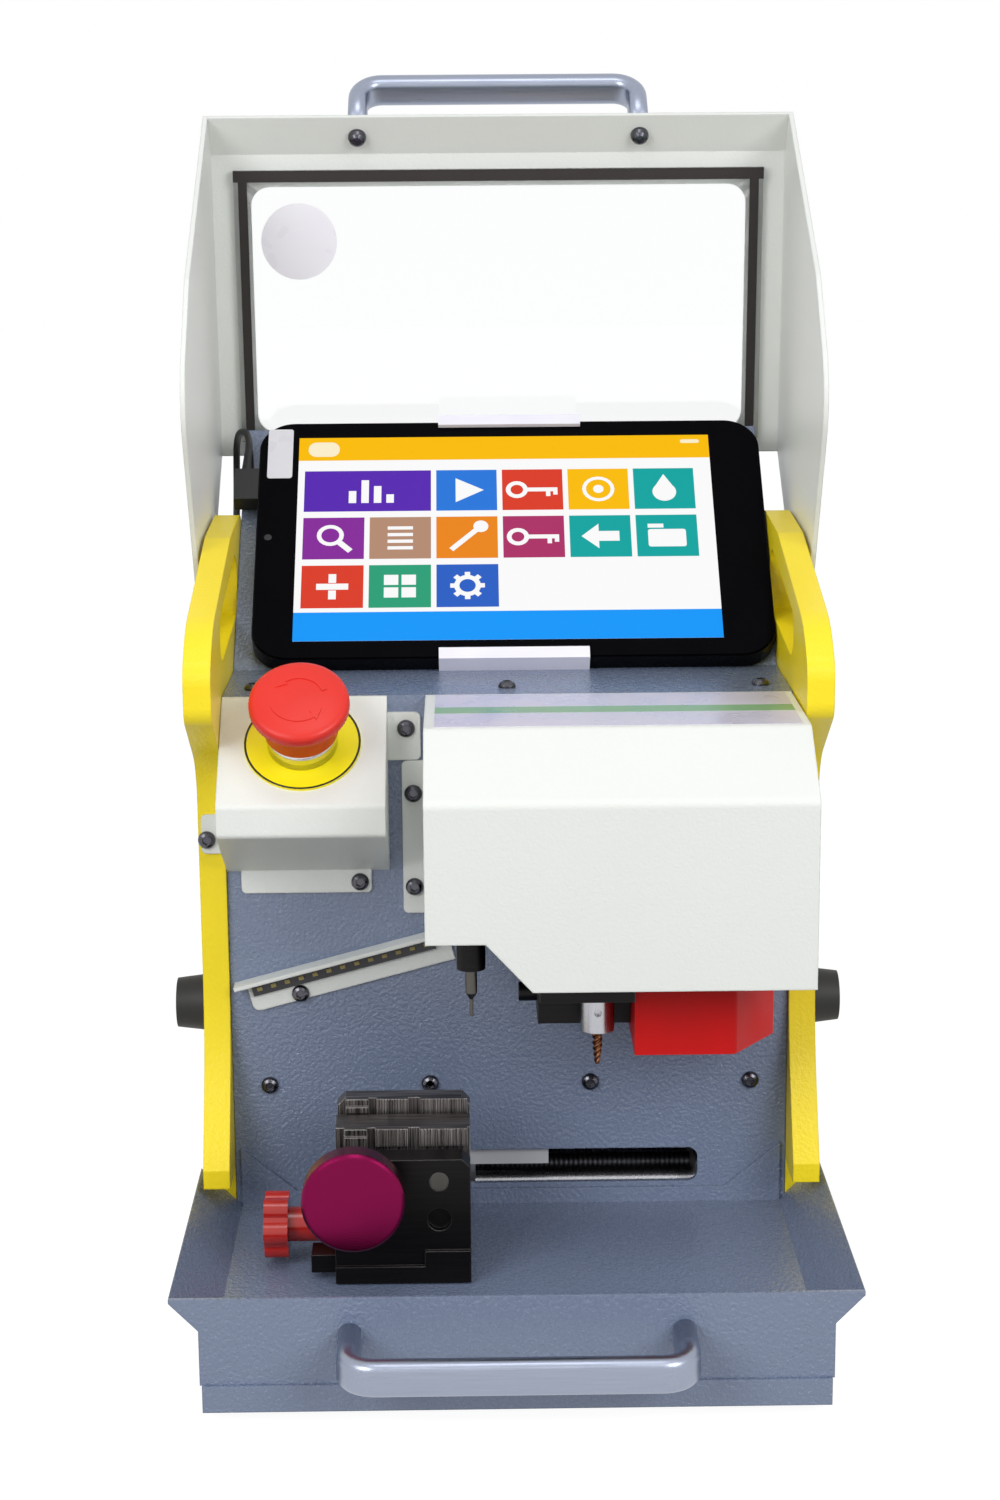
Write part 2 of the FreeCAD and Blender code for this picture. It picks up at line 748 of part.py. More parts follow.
finish("panel_screws", group("panel_screws", screws))

# Rear cover: back wall with vents, side cheeks that follow the folded sheet, openings for inlet and switch
BACK = "housing_depth - panel_sheet"
wall = span("rear_wall", "-panel_width / 2", "panel_width / 2", BACK, "housing_depth", "pan_wall",
            "housing_top")
cheek = plate("cheek", "YZ", [
    ("panel_sheet + seam_gap", "pan_wall"),
    (f"{BACK} + panel_sheet / 2", "pan_wall"),
    (f"{BACK} + panel_sheet / 2", "housing_top"),
    (BACK, "housing_top"),
    ("ledge_depth + panel_sheet * tan(desk_tilt / 2) + seam_gap", "ledge_height - panel_sheet - seam_gap"),
    ("panel_sheet + seam_gap", "ledge_height - panel_sheet - seam_gap"),
], "panel_sheet", x="panel_width / 2 - panel_sheet")
vents = [rounded(f"vent_{k}",
                 span(f"vent_block_{k}", "-vent_length / 2", "vent_length / 2",
                      "housing_depth - 2 * panel_sheet",
                                   "housing_depth + panel_sheet", f"vent_height + {k} * vent_pitch",
                                   f"vent_height + {k} * vent_pitch + vent_width"), "screw_head_bevel",
                 along("y"))
         for k in range(6)]
inlet_hole = rod("inlet_hole", "Y", "inlet_x", "housing_depth - 2 * panel_sheet", "inlet_z",
                 "inlet_radius + screw_gap", "4 * panel_sheet")
ROCKER_X0 = "inlet_x - rocker_width / 2 - rocker_wall"
ROCKER_X1 = "inlet_x + rocker_width / 2 + rocker_wall"
ROCKER_Z0 = "rocker_z - rocker_height / 2 - rocker_wall"
ROCKER_Z1 = "rocker_z + rocker_height / 2 + rocker_wall"
rocker_hole = span("rocker_hole", f"{ROCKER_X0} - seam_gap", f"{ROCKER_X1} + seam_gap",
                   "housing_depth - 2 * panel_sheet",
                   "housing_depth + panel_sheet", f"{ROCKER_Z0} - seam_gap", f"{ROCKER_Z1} + seam_gap")
rear = fuse("rear_shell", wall, cheek, mirrored("cheek_mirror", cheek))
finish("rear_cover", cut("rear_cover", rear, inlet_hole, rocker_hole, *vents))
inlet_body = rod("inlet_body", "Y", "inlet_x", "housing_depth - inlet_depth", "inlet_z", "inlet_radius",
                 "inlet_depth")
inlet_rim = rod("inlet_rim", "Y", "inlet_x", "housing_depth", "inlet_z", "inlet_flange", "inlet_flange_thick")
inlet_bore = rod("inlet_bore", "Y", "inlet_x", "housing_depth - inlet_depth / 2", "inlet_z",
                 "inlet_radius - pan_wall",
                 "inlet_depth")
finish("power_inlet", cut("power_inlet", fuse("inlet_solid", inlet_body, inlet_rim), inlet_bore))
rocker_case = span("rocker_case_block", ROCKER_X0, ROCKER_X1, "housing_depth - rocker_case",
                   "housing_depth", ROCKER_Z0, ROCKER_Z1)
rocker_rim = span("rocker_rim", f"{ROCKER_X0} - rocker_wall", f"{ROCKER_X1} + rocker_wall", "housing_depth",
                  "housing_depth + inlet_flange_thick", f"{ROCKER_Z0} - rocker_wall",
                  f"{ROCKER_Z1} + rocker_wall")
rocker_pocket = span("rocker_pocket", "inlet_x - rocker_width / 2", "inlet_x + rocker_width / 2",
                     "housing_depth - rocker_case + rocker_wall", "housing_depth + 2 * inlet_flange_thick",
                     "rocker_z - rocker_height / 2", "rocker_z + rocker_height / 2")
ROCKER_Y = "housing_depth - rocker_wall"
rocker_axle_hole = rod("rocker_axle_hole", "X", f"{ROCKER_X0} - rocker_wall", ROCKER_Y, "rocker_z",
                       "rocker_pivot_radius + running_gap", f"{ROCKER_X1} - ({ROCKER_X0}) + 2 * rocker_wall")
finish("switch_case",
       cut("switch_case", fuse("rocker_solid", rocker_case, rocker_rim), rocker_pocket, rocker_axle_hole))
rocker_paddle = plate("rocker_paddle", "YZ", [
    ("-rocker_root", "rocker_root_half"),
    ("-rocker_root", "-rocker_root_half"),
    ("inlet_flange_thick + rocker_low_rise", "rocker_end_gap - rocker_height / 2"),
    ("inlet_flange_thick + rocker_wall", "0"),
    ("inlet_flange_thick + rocker_high_rise", "rocker_height / 2 - rocker_end_gap"),
], "rocker_width - 2 * rocker_gap", x="inlet_x - rocker_width / 2 + rocker_gap", y=ROCKER_Y, z="rocker_z")
rocker_axle = rod("rocker_axle", "X", ROCKER_X0, ROCKER_Y, "rocker_z", "rocker_pivot_radius",
                  f"{ROCKER_X1} - ({ROCKER_X0})")
finish("switch_rocker", fuse("switch_rocker", rocker_paddle, rocker_axle))

# Side frames: plates with a rounded nose, a grip hole and a toe that runs forward above the tray wall
side_plate = plate("side_plate", "YZ", [
    ("0", "base_height"),
    ("housing_depth - pan_wall", "base_height"),
    ("housing_depth - pan_wall", "side_rear_top"),
    ("side_crest_back", "side_top"),
    ("side_crest_front", "side_top - side_crest_dip"),
    ("-side_brow_reach", "side_nose_top"),
    ("-side_nose_reach", "side_nose_top - side_brow_drop"),
    ("-side_nose_reach", "side_nose_bottom"),
    ("-panel_sheet", "side_throat"),
    ("-panel_sheet", "side_waist"),
    ("-side_toe_reach", "side_toe_top"),
    ("-side_toe_reach", "side_toe_bottom"),
    ("0", "side_toe_bottom"),
], "side_thick", x=SIDE_IN, rounds=[(3, "pivot_boss"), (5, "side_nose_reach"), (6, "bumper_radius"),
                                    (7, "pivot_head"), (8, "side_toe_reach"), (9, "side_waist")])
grip = plate("grip", "YZ", [
    ("grip_front", "grip_bottom"),
    ("grip_back", "grip_bottom + grip_rise"),
    ("grip_back", "grip_top + grip_rise"),
    ("grip_front", "grip_top - grip_rise"),
], "3 * side_thick", x=f"{SIDE_IN} - side_thick", rounds=[(k, "grip_corner") for k in range(4)])
pivot_seat = rod("pivot_seat", "X", f"{SIDE_IN} - side_thick", "pivot_y", "pivot_z", "pivot_radius",
                 "3 * side_thick")
side_right = finish("side_frame_right", cut("side_frame_right", side_plate, grip, pivot_seat))
side_screw_hole = screw_hole("side_screw_hole", "-Y", SIDE_SCREW[0], "-2 * panel_sheet", SIDE_SCREW[1],
                             f"{SHANK} + 2 * panel_sheet")
finish("side_frame_left", cut("side_frame_left", mirrored("side_mirror", side_right), side_screw_hole))
bumper = taper("bumper", "X", SIDE_OUT, "bumper_y", "bumper_z", "bumper_radius",
               "bumper_radius - bumper_taper", "bumper_length")
bumper_bore = rod("bumper_bore", "X", f"{SIDE_OUT} + bumper_length / 2", "bumper_y", "bumper_z",
                  "screw_head", "bumper_length")
bumper_right = cut("bumper_right", bumper, bumper_bore)
finish("bumpers", group("bumpers", [bumper_right, mirrored("bumper_left", bumper_right)]))

# Hood: a folded shell with a window, hung on two pins
LID_IN = f"{SIDE_OUT} + lid_gap"
LID_OUT = f"{SIDE_OUT} + lid_gap + lid_sheet"
TAIL_Y = "lid_crown_y - lid_panel_length * cos(lid_panel_tilt)"
TAIL_Z = "lid_crown_z - lid_panel_length * sin(lid_panel_tilt)"
LIP_Y = "lid_crown_y + lid_brow_length * cos(lid_brow_tilt)"
LIP_Z = "lid_crown_z + lid_brow_length * sin(lid_brow_tilt)"
MITRE = "lid_sheet / (1 + cos(lid_brow_tilt - lid_panel_tilt))"
hood_block = plate("hood_block", "YZ", [
    (LIP_Y, LIP_Z),
    ("lid_bow_y", "lid_bow_z"),
    ("lid_apex_y", "lid_apex_z"),
    ("lid_waist_y", "lid_waist_z"),
    ("pivot_y - pivot_lug_reach", "pivot_z + pivot_lug_rise"),
    ("pivot_y + pivot_lug_reach", "pivot_z - pivot_lug_rise"),
    (TAIL_Y, TAIL_Z),
    ("lid_crown_y", "lid_crown_z"),
], f"2 * ({LID_OUT})", x=f"-({LID_OUT})", rounds=[(2, "lid_apex_round")])
CROWN_IN_Y = f"lid_crown_y - {MITRE} * (sin(lid_panel_tilt) + sin(lid_brow_tilt))"
CROWN_IN_Z = f"lid_crown_z + {MITRE} * (cos(lid_panel_tilt) + cos(lid_brow_tilt))"
hood_hollow = plate("hood_hollow", "YZ", [
    (CROWN_IN_Y, CROWN_IN_Z),
    (f"{CROWN_IN_Y} - lid_crown_z * cos(lid_panel_tilt)",
     f"{CROWN_IN_Z} - lid_crown_z * sin(lid_panel_tilt)"),
    ("-tray_depth", "0"),
    ("-tray_depth", "lid_crown_z + tray_depth"),
    (f"{CROWN_IN_Y} + tray_depth * cos(lid_brow_tilt)", f"{CROWN_IN_Z} + tray_depth * sin(lid_brow_tilt)"),
], f"2 * ({LID_IN})", x=f"-({LID_IN})")
bosses = [rod(f"pivot_boss_{side}", "X", x, "pivot_y", "pivot_z", "pivot_boss", "lid_sheet")
          for side, x in (("right", LID_IN), ("left", f"-({LID_OUT})"))]
pivot_bore = rod("pivot_bore", "X", f"-2 * ({LID_OUT})", "pivot_y", "pivot_z", "pivot_radius + running_gap",
                 f"4 * ({LID_OUT})")


def on_lid(obj, across, down, out="0"):
    """Puts an object on the hood's window panel, by its distance below the crown and out of the face."""
    return lean(obj, "lid_panel_tilt", across, "lid_crown_y", "lid_crown_z", f"-({down})",
                f"lid_sheet + ({out})")


def sheet_on_lid(name, width, top, bottom, thick, out, corner=None):
    """A rectangle on the window panel between two distances below the crown, with round corners if asked."""
    tile = plate(name, "XY", [
        (f"-({width}) / 2", "0"),
        (f"({width}) / 2", "0"),
        (f"({width}) / 2", f"({bottom}) - ({top})"),
        (f"-({width}) / 2", f"({bottom}) - ({top})"),
    ], thick, rounds=[(k, corner) for k in range(4)] if corner else ())
    return on_lid(tile, "0", bottom, out)


WINDOW_END = "lid_panel_length - window_tail"
PANE_WIDTH = "window_width + 2 * window_lap"
PANE_TOP = "window_drop - window_lap"
PANE_END = f"{WINDOW_END} + window_lap / 2"
opening = sheet_on_lid("window_opening", "window_width", "window_drop", WINDOW_END, "4 * lid_sheet",
                       "-3 * lid_sheet", "window_corner")
finish("lid_shell", cut("lid_shell", fuse("hood_solid", cut("hood_shell", hood_block, hood_hollow), *bosses),
                        pivot_bore, opening))
finish("lid_window", sheet_on_lid("lid_window", PANE_WIDTH, PANE_TOP, PANE_END, "window_thick", "0"))
SEAL_WIDTH = f"{PANE_WIDTH} - 2 * seal_inset"
SEAL_HOLE_TOP = f"{PANE_TOP} + gasket_width"
seal_block = sheet_on_lid("seal_block", SEAL_WIDTH, PANE_TOP, PANE_END, "gasket_thick", "window_thick")
seal_hole = sheet_on_lid("seal_hole", f"{SEAL_WIDTH} - 2 * seal_side", SEAL_HOLE_TOP,
                         f"{PANE_END} - gasket_width",
                         "3 * gasket_thick", "window_thick - gasket_thick")
seal_head = sheet_on_lid("seal_head", PANE_WIDTH, PANE_TOP, SEAL_HOLE_TOP, "gasket_thick", "window_thick")
finish("window_gasket", fuse("window_gasket", cut("seal_ring", seal_block, seal_hole), seal_head))
pins = []
for name, axis, side in (("right", "X", "1"), ("left", "-X", "-1")):
    shank = rod(f"pivot_shank_{name}", axis, f"{side} * ({SIDE_IN})", "pivot_y", "pivot_z", "pivot_radius",
                f"{LID_OUT} - ({SIDE_IN}) + pivot_play")
    head = taper(f"pivot_head_{name}", axis, f"{side} * ({LID_OUT} + pivot_play)", "pivot_y", "pivot_z",
                 "pivot_head", "pivot_head - screw_head_bevel", "pivot_head_thick")
    spacer = rod(f"pivot_spacer_{name}", axis, f"{side} * ({SIDE_OUT})", "pivot_y", "pivot_z", "pivot_head",
                 "lid_gap - pivot_play")
    pins.append(fuse(f"pivot_pin_{name}", shank, head, spacer))
finish("lid_pivot_pins", group("lid_pivot_pins", pins))


def bar_handle(name):
    """A bent flat-bar handle that reaches out along -Y, with its bar's width along Z."""
    half = "handle_span / 2 + handle_thick / 2"
    inner = "handle_span / 2 - handle_thick / 2"
    reach = "handle_reach - handle_thick"
    return plate(name, "XY", [
        (f"-({half})", "0"),
        (f"-({inner})", "0"),
        (f"-({inner})", f"-({reach})"),
        (inner, f"-({reach})"),
        (inner, "0"),
        (half, "0"),
        (half, "-handle_reach"),
        (f"-({half})", "-handle_reach"),
    ], "handle_bar", rounds=[(2, "handle_bend - handle_thick"), (3, "handle_bend - handle_thick"),
                             (6, "handle_bend"), (7, "handle_bend")])


BROW_MIDDLE = "lid_brow_length / 2 + handle_bar / 2"
lid_handle = bar_handle("lid_handle")
lean(lid_handle, "lid_brow_tilt", "0", "lid_crown_y", "lid_crown_z", BROW_MIDDLE, "0", turn=90)
finish("lid_handle", lid_handle)
brow_screws = []
for side in ("-1", "1"):
    knob = doc.addObject("Part::Cone", f"brow_screw_{len(brow_screws)}")
    bind(knob, Radius1="screw_head", Radius2="screw_head - screw_head_bevel / 2", Height="screw_head")
    lean(knob, "lid_brow_tilt", f"{side} * handle_span / 2", "lid_crown_y", "lid_crown_z",
         "lid_brow_length / 2", "lid_sheet")
    brow_screws.append(knob)
finish("lid_handle_screws", group("lid_handle_screws", brow_screws))
front_handle = bar_handle("front_handle")
finish("front_handle", place(front_handle, "0", TRAY_FRONT, "front_handle_z"))


def tab(name, x0, x1, y, z0, z1):
    """A thin fixing tab with round corners; its front face lies at y."""
    return rounded(name, span(name + "_blank", x0, x1, y, f"{y} + flange_sheet", z0, z1), "tab_corner",
                   along("y"))


# Spindle cover: a folded hood over the cutting head, open below and at the back, with a stepped skirt
cover_block = plate("cover_block", "YZ", [
    ("0", "ledge_height"),
    ("-cover_top_reach", "ledge_height"),
    ("-cover_reach", "cover_brow"),
    ("-cover_reach", "cover_skirt"),
    ("0", "cover_skirt"),
], "cover_left + cover_right", x="-cover_left", rounds=[(1, "cover_bend"), (2, "cover_bend")])
cover_hollow = plate("cover_hollow", "YZ", [
    ("cover_sheet", "ledge_height - cover_sheet"),
    ("-cover_top_reach + cover_fold_in", "ledge_height - cover_sheet"),
    ("-cover_reach + cover_sheet", "cover_brow - cover_fold_in"),
    ("-cover_reach + cover_sheet", "0"),
    ("cover_sheet", "0"),
], "cover_left + cover_right - 2 * cover_sheet", x="-cover_left + cover_sheet",
                     rounds=[(1, "cover_bend - cover_sheet"), (2, "cover_bend - cover_sheet")])
step = plate("cover_step", "XZ", [
    ("-2 * cover_left", "0"),
    ("-2 * cover_left", "cover_left_skirt"),
    ("-cover_step_left", "cover_left_skirt"),
    ("cover_step_right", "cover_skirt"),
    ("cover_step_right", "0"),
], "3 * cover_reach", y="-2 * cover_reach")
flange = tab("cover_flange_plate", "-cover_left - cover_flange", "-cover_left + tab_lap", "-flange_sheet",
             "cover_flange_bottom", "cover_flange_top")
cover_holes = [screw_hole(f"cover_hole_{k}", "-Y", x, "-2 * flange_sheet", z, "3 * flange_sheet")
               for k, (x, z) in enumerate(COVER_SCREWS)]
cover_shell = fuse("cover_shell", cut("cover_sheet_metal", cover_block, cover_hollow, step), flange)
finish("spindle_cover", cut("spindle_cover", cover_shell, *cover_holes))

# Emergency stop: sloped box with tabs, label ring, switch, stem and mushroom head
STOP_LEFT = "-panel_width / 2"
STOP_X = "(-panel_width / 2 - stop_right) / 2"
STOP_BROW = "ledge_height - stop_reach * tan(stop_tilt)"
stop_block = plate("stop_block", "YZ", [
    ("0", "ledge_height"),
    ("-stop_reach", STOP_BROW),
    ("-stop_reach", "stop_chin"),
    ("0", "stop_foot"),
], "panel_width / 2 - stop_right", x=STOP_LEFT, rounds=[(1, "stop_bend"), (2, "stop_bend")])
stop_hollow = plate("stop_hollow", "YZ", [
    ("stop_sheet", "ledge_height - stop_sheet / cos(stop_tilt) + stop_sheet * tan(stop_tilt)"),
    ("-stop_reach + stop_sheet", f"{STOP_BROW} - stop_sheet / cos(stop_tilt) + stop_sheet * tan(stop_tilt)"),
    ("-stop_reach + stop_sheet", "stop_chin + stop_sheet"),
    ("stop_sheet", "stop_foot + stop_sheet"),
], "panel_width / 2 - stop_right - 2 * stop_sheet", x=f"{STOP_LEFT} + stop_sheet")


def on_stop(obj, out, turn=0):
    """Puts an object on the axis of the emergency stop, at a distance out of its sloped face."""
    return lean(obj, "stop_tilt", STOP_X, "0", "ledge_height", "-stop_centre", out, turn)


def stop_disc(name, radius, start, end):
    disc = doc.addObject("Part::Cylinder", name)
    bind(disc, Radius=radius, Height=f"({end}) - ({start})")
    return on_stop(disc, start)


tab_right = tab("stop_tab_right", "-stop_right - tab_lap", "-stop_right + stop_tab_reach", "-flange_sheet",
                "ledge_height - stop_tab_drop - stop_tab_height", "ledge_height - stop_tab_drop")
tab_foot = tab("stop_tab_foot", f"{STOP_LEFT} + stop_foot_tab_left", "-stop_right - stop_foot_tab_right",
               "-flange_sheet",
               "stop_foot - stop_foot_tab_height", "stop_foot + tab_lap")
tab_left = tab("stop_tab_left", f"-({SIDE_OUT}) + flange_sheet", f"{STOP_LEFT} + tab_lap",
               "-panel_sheet - flange_sheet",
               "stop_foot + stop_side_tab_rise", "stop_chin")
side_tab_hole = screw_hole("side_tab_hole", "-Y", SIDE_SCREW[0], "-2 * panel_sheet - flange_sheet",
                           SIDE_SCREW[1],
                           "3 * panel_sheet")
stop_hole = stop_disc("stop_hole", "stop_barrel_radius + screw_gap", "-stop_barrel_drop", "stop_barrel_drop")
stop_holes = [screw_hole(f"stop_hole_{k}", "-Y", x, "-2 * flange_sheet", z, "3 * flange_sheet")
              for k, (x, z) in enumerate(STOP_SCREWS)]
stop_shell = fuse("stop_shell", cut("stop_sheet_metal", stop_block, stop_hollow), tab_right, tab_foot,
                  tab_left)
finish("estop_box", cut("estop_box", stop_shell, stop_hole, side_tab_hole, *stop_holes))
ring_plate = stop_disc("ring_plate", "stop_ring_radius", "0", "stop_ring_thick")
ring_hole = stop_disc("ring_hole", "stop_barrel_radius + screw_gap", "-stop_ring_thick",
                      "2 * stop_ring_thick")
finish("estop_ring", cut("estop_ring", ring_plate, ring_hole))
barrel = stop_disc("stop_barrel", "stop_barrel_radius", "-stop_barrel_drop", "stop_ring_thick")
collar = stop_disc("stop_collar", "stop_collar_radius", "stop_ring_thick",
                   "stop_ring_thick + stop_collar_height")
contact = stop_disc("stop_contact_block", "stop_collar_radius - pan_wall",
                    "-stop_barrel_drop - stop_contact", "-stop_barrel_drop")
stem_bore = stop_disc("stop_stem_bore", "stop_stem_radius + running_gap",
                      "-stop_stem_drop - stop_travel - jaw_gap",
                      "stop_barrel_drop")
finish("estop_switch", cut("estop_switch", fuse("stop_switch_solid", barrel, collar, contact), stem_bore))
STEM_TOP = "stop_head_base + stop_skirt_height + stop_rim_rise"
finish("estop_stem", stop_disc("estop_stem", "stop_stem_radius", "-stop_stem_drop", STEM_TOP))
RIM_TOP = "stop_skirt_height + stop_rim_rise + stop_rim_height"
head_profile = doc.addObject("PartDesign::Body", "mushroom")
head_sketch = outline(head_profile, "mushroom_profile", "XZ", [
    ("0", "0"),
    ("stop_skirt_radius", "0"),
    ("stop_skirt_radius", "stop_skirt_height"),
    ("stop_head_radius - stop_rim_round / 2", "stop_skirt_height + stop_rim_rise / 2"),
    ("stop_head_radius", "stop_skirt_height + stop_rim_rise"),
    ("stop_head_radius", RIM_TOP),
    ("stop_head_radius - stop_rim_round", f"{RIM_TOP} + stop_rim_round"),
    ("0", f"{RIM_TOP} + stop_rim_round + stop_head_crown"),
])
head_turn = head_profile.newObject("PartDesign::Revolution", "mushroom_turn")
head_turn.Profile = head_sketch
head_turn.ReferenceAxis = (head_sketch, ["V_Axis"])
head_turn.Angle = 360
on_stop(head_profile, "stop_head_base")
head_socket = stop_disc("mushroom_socket", "stop_stem_radius + running_gap", "0", f"{STEM_TOP} + jaw_gap")
finish("estop_button", cut("estop_button", head_profile, head_socket))


# Work light: a slanted angle on the panel, its lip over a strip of lamps
def slanted(name, start, end, low, high, depth, y, rounds=()):
    """A prism along the light's slant, between two distances along it and two above its foot line."""
    def corner(run, rise):
        return (f"-light_x + ({run}) * cos(light_tilt) - ({rise}) * sin(light_tilt)",
                f"light_z + ({run}) * sin(light_tilt) + ({rise}) * cos(light_tilt)")
    corners = [corner(start, low), corner(end, low), corner(end, high), corner(start, high)]
    return plate(name, "XZ", corners, depth, y=y, rounds=rounds)


light_lip = slanted("light_lip", "0", "light_length", "0", "light_sheet", "light_depth", "-light_depth")
light_back = slanted("light_back", "light_inset", "light_length", "-light_drop", "light_sheet",
                     "flange_sheet", "-flange_sheet",
                     rounds=[(0, "light_corner")])
light_hole = screw_hole("light_hole", "-Y", LIGHT_SCREW[0], "-2 * flange_sheet", LIGHT_SCREW[1],
                        "3 * flange_sheet")
finish("light_bracket", cut("light_bracket", fuse("light_solid", light_lip, light_back), light_hole))
finish("light_strip",
       slanted("light_strip", "strip_inset", "light_length - strip_inset", "-strip_top - strip_height",
                              "-strip_top", "strip_thick", "-flange_sheet - strip_thick"))

# Tablet: case and glass on the desk, two clips, a plug at the left edge and its lead into the side frame
TABLET_LEFT = "tablet_x - tablet_width / 2"
TABLET_MIDDLE = "tablet_lift + tablet_thick / 2"


def on_desk(obj, x, up, out, turn=0):
    return lean(obj, "desk_tilt", x, "ledge_depth", "ledge_height", up, out, turn)


def slab(name, inset, thick, out):
    """A rounded slab with the tablet's outline, drawn in by an inset."""
    half = f"tablet_width / 2 - ({inset})"
    tile = plate(name, "XY", [
        (f"-({half})", inset),
        (half, inset),
        (half, f"tablet_length - ({inset})"),
        (f"-({half})", f"tablet_length - ({inset})"),
    ], thick, rounds=[(k, "tablet_corner") for k in range(4)])
    return on_desk(tile, "tablet_x", "-tablet_drop", out)


finish("tablet_case", slab("tablet_case", "0", "tablet_thick - glass_thick", "tablet_lift"))
finish("tablet_glass",
       slab("tablet_glass", "glass_thick / 2", "glass_thick", "tablet_lift + tablet_thick - glass_thick"))
CLIP_TOP = "tablet_lift + tablet_thick + clip_gap + clip_wall"
CLIP_UNDER = "tablet_lift + tablet_thick + clip_gap"
HEAD_EDGE = "tablet_length - tablet_drop"
CLIP_IN = "-tablet_drop - clip_gap"
CLIP_OUT = "-tablet_drop - clip_gap - clip_wall"
top_clip = plate("top_clip", "YZ", [
    (f"{HEAD_EDGE} + clip_gap", "0"),
    (f"{HEAD_EDGE} + clip_gap + clip_wall", "0"),
    (f"{HEAD_EDGE} + clip_gap + clip_wall", CLIP_TOP),
    (f"{HEAD_EDGE} - clip_lip", CLIP_TOP),
    (f"{HEAD_EDGE} - clip_lip", CLIP_UNDER),
    (f"{HEAD_EDGE} + clip_gap", CLIP_UNDER),
], "clip_width")
foot_clip = plate("foot_clip", "YZ", [
    (CLIP_IN, f"-({CLIP_IN}) * tan(desk_tilt)"),
    (CLIP_OUT, f"-({CLIP_OUT}) * tan(desk_tilt)"),
    (CLIP_OUT, CLIP_TOP),
    ("clip_lip - tablet_drop", CLIP_TOP),
    ("clip_lip - tablet_drop", CLIP_UNDER),
    (CLIP_IN, CLIP_UNDER),
], "clip_width")
for clip in (top_clip, foot_clip):
    on_desk(clip, "tablet_x - clip_width / 2", "0", "0")
finish("tablet_clips", group("tablet_clips", [top_clip, foot_clip]))
plug_block = doc.addObject("Part::Box", "plug_block")
bind(plug_block, Length="plug_width", Width="plug_length", Height="plug_thick")
on_desk(plug_block, f"{TABLET_LEFT} - plug_width", "plug_up", f"{TABLET_MIDDLE} - plug_thick / 2")
relief = doc.addObject("Part::Cone", "relief")
bind(relief, Radius1="relief_radius", Radius2="lead_radius + clip_gap", Height="relief_length")
on_desk(relief, f"{TABLET_LEFT} - plug_width / 2", "plug_up + plug_length", TABLET_MIDDLE, turn=-90)
finish("usb_plug", fuse("usb_plug", plug_block, relief))

# The lead's route, from the panel's face and above the ledge: plug, edge of the desk, side frame
LEAD = [
    (-106.5, 131.934, 79.47),
    (-106.5, 138.944, 85.88),
    (-111.5, 148.204, 86.2),
    (-113.6, 155.604, 80.4),
    (-114.1, 158.004, 69.8),
    (-114.2, 156.604, 58.9),
    (-114.2, 151.504, 48.0),
    (-114.2, 143.304, 39.2),
    (-114.2, 126.944, 30.1),
]
BEND_SHARE = 0.45


def tube(route, radius):
    """A round tube along a route of straight runs with a tangent arc at each corner."""
    start = FreeCAD.Vector(0, -size("panel_setback"), size("foot_height") + size("ledge_height"))
    points = [start + FreeCAD.Vector(*point) for point in route]
    edges = []
    start = points[0]
    length = 0
    for before, corner, after in zip(points, points[1:], points[2:]):
        back = before - corner
        ahead = after - corner
        reach = BEND_SHARE * min(back.Length, ahead.Length)
        turn = math.pi - back.getAngle(ahead)
        enter = corner + back.normalize() * reach
        leave = corner + ahead.normalize() * reach
        bend = reach / math.tan(turn / 2)
        middle = corner + (back + ahead).normalize() * bend * (1 / math.cos(turn / 2) - 1)
        edges.append(Part.LineSegment(start, enter).toShape())
        edges.append(Part.Arc(enter, middle, leave).toShape())
        print(f"lead bend radius {bend:.1f}")
        start = leave
    edges.append(Part.LineSegment(start, points[-1]).toShape())
    path = Part.Wire(edges)
    ring = Part.Wire(Part.makeCircle(radius, points[0], points[1] - points[0]))
    solid = path.makePipeShell([ring], True, True)
    print(f"lead length {path.Length:.1f}, volume {solid.Volume:.1f}, section x length"
          f" {math.pi * radius ** 2 * path.Length:.1f}")
    return solid


lead = doc.addObject("Part::Feature", "usb_lead")
lead.Shape = tube(LEAD, size("lead_radius"))
finish("usb_lead", lead)

# X axis: two rods between end blocks on the pan, a lead screw, its motor and the carriage
X_SCREW_Y = "(x_rod_front + x_rod_back) / 2"
X_LEFT = "-x_block_left"
X_RIGHT = "x_block_right + block_thick"
X_RUN = "x_block_left + x_block_right + block_thick"
CARRIAGE_BACK = "carriage_front + carriage_depth"
rods_x = [rod(f"x_rod_{k}", "X", X_LEFT, y, "x_axis_z", "rod_radius", X_RUN)
          for k, y in enumerate(("x_rod_front", "x_rod_back"))]
finish("x_rods", group("x_rods", rods_x))


def x_bores(name, screw_gap):
    """The holes for both rods and the lead screw, right through along X."""
    holes = [rod(f"{name}_rod_hole_{k}", "X", f"{X_LEFT} - block_thick", y, "x_axis_z",
                 "rod_radius + running_gap",
                 f"{X_RUN} + 2 * block_thick") for k, y in enumerate(("x_rod_front", "x_rod_back"))]
    holes.append(rod(f"{name}_screw_hole", "X", f"{X_LEFT} - block_thick", X_SCREW_Y, "x_axis_z",
                     f"lead_screw_radius + {screw_gap}", f"{X_RUN} + 2 * block_thick"))
    return holes


blocks_x = []
for name, x0 in (("left", X_LEFT), ("right", "x_block_right")):
    block = span(f"x_block_{name}", x0, f"{x0} + block_thick", "carriage_front", CARRIAGE_BACK, "pan_wall",
                 "x_axis_z + block_thick")
    blocks_x.append(cut(f"x_end_{name}", block, *x_bores(f"x_end_{name}", "running_gap")))
finish("x_end_blocks", group("x_end_blocks", blocks_x))


def square_motor(name, axis, x0, x1, y0, y1, z0, z1):
    return rounded(name, span(name + "_block", x0, x1, y0, y1, z0, z1), "motor_corner", along(axis))


